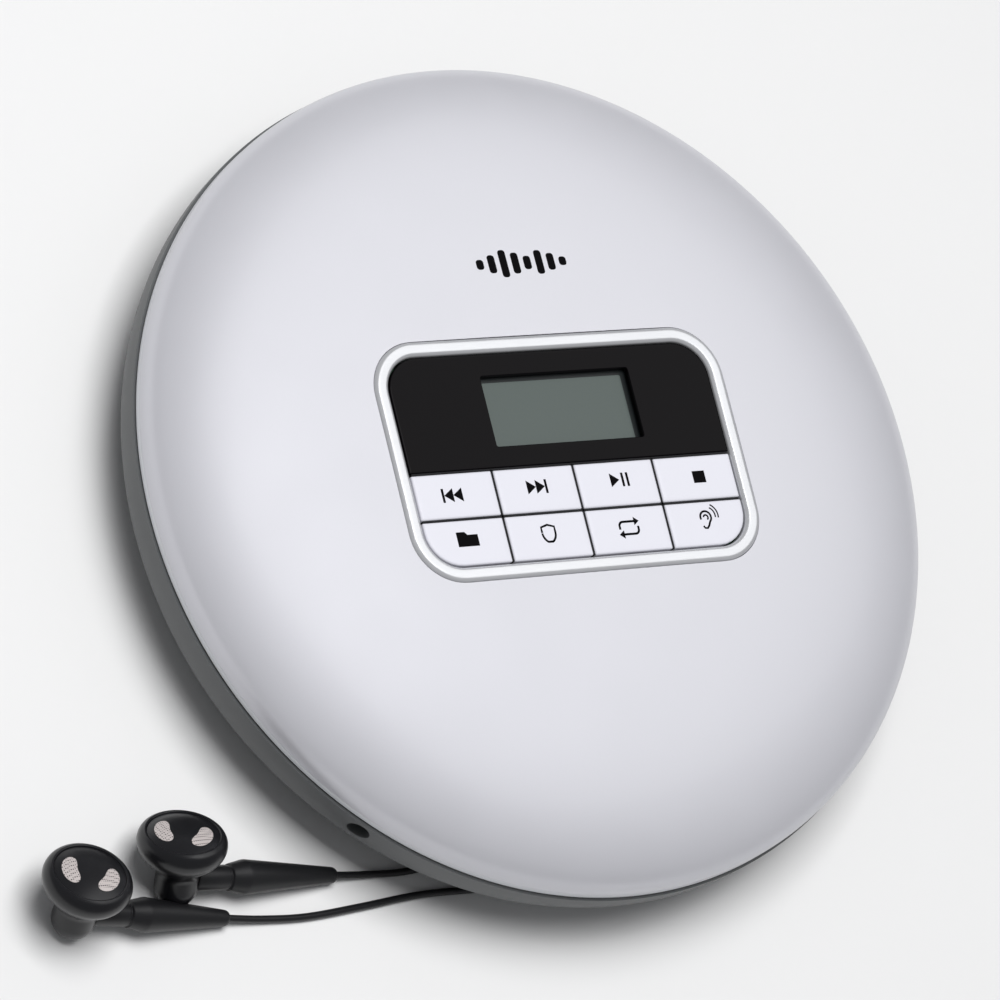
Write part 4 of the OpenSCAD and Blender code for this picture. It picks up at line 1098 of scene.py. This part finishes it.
@dataclass
class Earphones:
    """Two earbuds, their leads, the joint, the hank of spare cord and the plug."""

    cord_d: float = 1.2
    bud_r: float = 7.0
    neck_r: float = 3.4
    neck_l: float = 9.7
    boot_drop: float = 8.5
    hank_azimuth: float = 36.0
    hank_r: float = 73.1
    hank_run: float = 22.8
    turns: tuple[float, ...] = (6.0, 4.8, 3.6)
    layers: int = 4
    plate_r: float = 5.55
    mesh_r: float = 3.35
    mesh_half: float = 1.15
    mesh_arcs: tuple[tuple[float, float], ...] = ((180.0, 46.0), (325.0, 46.0))
    plug_azimuth: float = 5.0
    plug_z: float = 6.8

    def cord(self, name: str, line: Array) -> Any:
        """A cord as a curve of one open spline through a line's points.

        Args:
            name: The piece's name.
            line: Its points in millimetres.

        Returns:
            The curve object.
        """
        data = bpy.data.curves.new(name, "CURVE")
        data.dimensions = "3D"
        data.bevel_depth = self.cord_d / 2 * MM
        data.bevel_resolution = 3
        data.use_fill_caps = True
        data.materials.append(SHOP.get(CORD_PVC))
        run = data.splines.new("POLY")
        run.points.add(len(line) - 1)
        run.points.foreach_set("co", np.column_stack([line * MM, np.ones(len(line))]).ravel())
        piece = bpy.data.objects.new(name, data)
        bpy.context.scene.collection.objects.link(piece)
        return piece

    def eased(self, line: Array, rounds: int = 4) -> Array:
        """Take the kinks out of a line: each inner point moves to the mean of itself and its neighbours."""
        for _ in range(rounds):
            line = np.vstack([line[:1], (line[:-2] + 2 * line[1:-1] + line[2:]) / 4, line[-1:]])
        return line

    def hank(self) -> Array:
        """The wound cord: rounds of two straights and two half circles, each a diameter inside the last.

        In each layer the rounds shrink or grow by turns, changing over the near end, and the layers go down.

        Returns:
            Points from the plug's side of the top layer to the far end of the lowest.
        """
        per_turn, first, change = 64, 0.055, 0.2
        radii = np.concatenate([self.turns[:: 1 if i % 2 == 0 else -1] for i in range(self.layers)])
        levels = np.repeat(np.arange(self.layers)[::-1], len(self.turns)) * self.cord_d + self.cord_d / 2
        count = len(radii)
        # the line starts a fifth of the way along the first run and ends at the tip of the far bend
        last = (self.hank_run + np.pi / 2 * radii[-1]) / (2 * (self.hank_run + np.pi * radii[-1]))
        place = np.linspace(first, count - 1 + last, count * per_turn)
        number = np.minimum(place.astype(int), count - 1)
        after = np.minimum(number + 1, count - 1)
        share = np.clip((place - number - (1 - change)) / change, 0, 1)
        blend = share**2 * (3 - 2 * share)
        radius = radii[number] * (1 - blend) + radii[after] * blend
        height = levels[number] * (1 - blend) + levels[after] * blend
        run, half_turn = self.hank_run, np.pi * radius
        way = (place - number) * 2 * (run + half_turn)
        far = np.clip((way - run) / half_turn, 0, 1) * np.pi
        near = np.clip((way - 2 * run - half_turn) / half_turn, 0, 1) * np.pi
        x = np.where(way < run, way - run / 2, 0)
        y = np.where(way < run, radius, 0)
        on_far = (way >= run) & (way < run + half_turn)
        x = np.where(on_far, run / 2 + radius * np.sin(far), x)
        y = np.where(on_far, radius * np.cos(far), y)
        back = (way >= run + half_turn) & (way < 2 * run + half_turn)
        x = np.where(back, run / 2 - (way - run - half_turn), x)
        y = np.where(back, -radius, y)
        on_near = way >= 2 * run + half_turn
        x = np.where(on_near, -run / 2 - radius * np.sin(near), x)
        y = np.where(on_near, -radius * np.cos(near), y)
        out, along = bearing(self.hank_azimuth)
        flat = self.hank_r * out + x[:, None] * along + y[:, None] * out
        return np.column_stack([flat[:, :2], height])

    def build(self) -> None:
        """Make the earbuds and lay the cords."""
        joint = self.joint()
        tie = self.tie()
        self.plug()
        main_line = self.eased(np.vstack([spline(PLUG_ROUTE)[:-1], self.hank(),
                                          spline(TAIL_ROUTE)[::-1][1:]]))
        main = dress(self.cord("main_cord", main_line), "case", "cord_rubber", "cord_main", "cord_hank")
        for bud in (LEFT, RIGHT):
            self.earbud(bud)
            relief = self.relief(bud)
            line = spline(bud.route)[::-1]
            lead = dress(self.cord(f"lead_{bud.side}_cord", line), "case", "cord_rubber", f"lead_{bud.side}")

    def relief(self, bud: Bud) -> Any:
        """The tapered relief from the earbud's neck to the lead, with a groove behind its collar."""
        face, out = np.array(bud.face) / np.linalg.norm(bud.face), np.array(bud.out) / np.linalg.norm(bud.out)
        start = np.array(bud.cap) - face * self.boot_drop + out * (self.neck_r - 0.9)
        way = np.array(bud.end) - start
        long = float(np.linalg.norm(way))
        profile = softened([(0, 0), (1.95, 0), (1.95, 5.9), (1.8, 6.0), (1.8, 6.25), (2.1, 6.35), (2.75, 9.1),
                            (1.3, long - 0.5), (1.05, long), (0, long)], 0.35)
        rings = placed(turned(profile, 40), start, way, (0, 0, 1))
        nodes = ("earbud_boots",) if bud is LEFT else ()
        return dress(rings_piece(f"relief_{bud.side}", [(rings, False)], CORD_PVC), "case", "cord_rubber",
                     *nodes)

    def plate_z(self, radius: Array) -> Array:
        """Height of an earbud's face plate: a shallow dome that falls with the radius to the power 2.5."""
        return 0.6 - 0.85 * (radius / self.plate_r) ** 2.5

    def earbud(self, bud: Bud) -> None:
        """One earbud: turned housing with a rolled edge, face plate and mesh windows."""
        r, n, plate_r = self.bud_r, self.neck_r, self.plate_r
        end = [(n * math.cos(a), -self.neck_l + n * math.sin(a)) for a in np.radians(np.arange(-85, 1, 10))]
        profile = softened([(0, -self.neck_l - n), *end, (n, -7.3), (n + 0.2, -6.6), (n + 0.9, -5.7),
                            (n + 1.9, -4.8), (r - 0.8, -3.9), (r - 0.2, -2.9), (r, -1.9), (r - 0.12, -1.1),
                            (r - 0.5, -0.4), (r - 1.1, 0.0), (r - 1.4, -0.12), (plate_r, -0.5), (0, -0.5)],
                           0.6, steps=4)
        cap = placed(turned(profile), bud.cap, bud.face, bud.out)
        housing = rings_piece(f"earbud_{bud.side}", [(cap, False)], SATIN_BLACK, crease=60)
        left = bud is LEFT
        dress(housing, "case", "earbud_gloss", *(("earbud_housings",) if left else ()))
        radius = np.linspace(plate_r, 0, 24)
        plate = np.vstack([[[0, -0.9], [plate_r, -0.9]], np.column_stack([radius, self.plate_z(radius)])])
        face = rings_piece(f"face_{bud.side}", [(placed(turned(plate), bud.cap, bud.face, bud.out), False)],
                           SATIN_BLACK, crease=60)
        dress(face, "case", "earbud_gloss", *(("earbud_grilles",) if left else ()))
        windows = [(placed(self.window(middle, reach), bud.cap, bud.face, bud.out), True)
                   for middle, reach in self.mesh_arcs]
        dress(rings_piece(f"mesh_{bud.side}", windows, SPEAKER_MESH, crease=30), "case", "earbud_gloss")

    def window(self, middle: float, reach: float) -> Array:
        """A curved mesh window on the face plate, as rings across it that follow the plate's height.

        It narrows over the last part of its reach, so its ends are round.

        Args:
            middle: Angle of its middle, in degrees.
            reach: Angle from its middle to either end.

        Returns:
            Closed rings from one end to the other and back underneath.
        """
        share = np.sin(np.linspace(-np.pi / 2, np.pi / 2, 33))
        angle = np.radians(middle + reach * share)
        half = self.mesh_half * (1 - np.abs(share) ** 3) ** 0.5 + 0.01
        across = np.linspace(-1, 1, 9)
        radius = self.mesh_r + half[None, :] * across[:, None]
        lift = self.plate_z(radius)
        top = np.stack([radius * np.cos(angle), radius * np.sin(angle), lift + 0.04], axis=2)
        low = top[::-1] - [0.0, 0.0, 0.25]
        return np.concatenate([top, low])

    def joint(self) -> Any:
        """The small moulded joint where the two leads meet the main cord."""
        start, end = np.array([31.0, 63.4, 1.4]), np.array([38.6, 64.6, 1.2])
        long = float(np.linalg.norm(end - start))
        profile = softened([(0, 0), (1.0, 0), (1.15, 1), (1.15, 5), (0.9, 7), (0.75, long), (0, long)], 0.3)
        rings = placed(turned(profile, 40), start, end - start, (0, 0, 1))
        return dress(rings_piece("cord_joint", [(rings, False)], CORD_PVC), "case", "cord_rubber", "y_joint")

    def tie(self) -> Any:
        """The flat band round the middle of the hank."""
        half_w, high, long = 6.6, self.layers * self.cord_d, 1.5
        outer = corner_outline((-half_w - 0.4, 0.0), (half_w + 0.4, high + 0.4), [0.5] * 4)
        inner = corner_outline((-half_w, 0.02), (half_w, high + 0.02), [0.3] * 4)
        rings = np.stack([np.column_stack([shape[:, 0], shape[:, 1], np.full(len(shape), x)])
                          for shape, x in ((outer, -long), (outer, long), (inner, long), (inner, -long))])
        out, along = bearing(self.hank_azimuth)
        world = rings @ np.array([out, [0, 0, 1], along]) + self.hank_r * out
        return dress(rings_piece("hank_tie", [(world, True)], BLACK_RUBBER), "case", "cord_rubber",
                     "cord_tie")

    def plug(self) -> Any:
        """The angled plug's body with its ribbed relief."""
        out, along = bearing(self.plug_azimuth)
        height, start, end = np.array([0, 0, self.plug_z]), 66.7, 71.0
        collar = softened([(0, start), (2.2, start), (2.4, start + 0.3), (2.4, end), (0, end)], 0.2)
        body = softened([(0, -2.6), (2.0, -2.6), (2.6, -1.9), (2.6, 9.0), (2.2, 10.0), (1.9, 10.0),
                         (1.75, 11.4), (1.55, 11.5), (1.55, 12.0), (1.7, 12.1), (1.5, 13.5), (1.3, 13.6),
                         (1.3, 14.1), (1.45, 14.2), (1.2, 15.8), (0.9, 18.0), (0, 18.0)], 0.3)
        stacks = [(placed(turned(collar, 48), height, out, (0, 0, 1)), False),
                  (placed(turned(body, 48), height + end * out, along, (0, 0, 1)), False)]
        return dress(rings_piece("plug_body", stacks, CORD_PVC), "case", "cord_rubber", "plug")


def dress_cad_nodes() -> None:
    """Give every CAD node that still shows its finish, by its material slot."""
    slots = {part["node"]: part["material_slot"] for part in frame["record"]["subparts"]}
    for name, node in frame["nodes"].items():
        material = SHOP.get(CAD_FINISHES[slots[name]])
        node.data.materials.clear()
        node.data.materials.append(material)


def main() -> None:
    """Build the room, the player and the earphones."""
    logging.basicConfig(level=logging.INFO, format="%(name)s: %(message)s")
    Studio().build()
    Earphones().build()
    dress_cad_nodes()
    Base().build()
    Lid().build()
    Panel().build()
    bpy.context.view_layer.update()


if __name__ == "__main__":
    main()
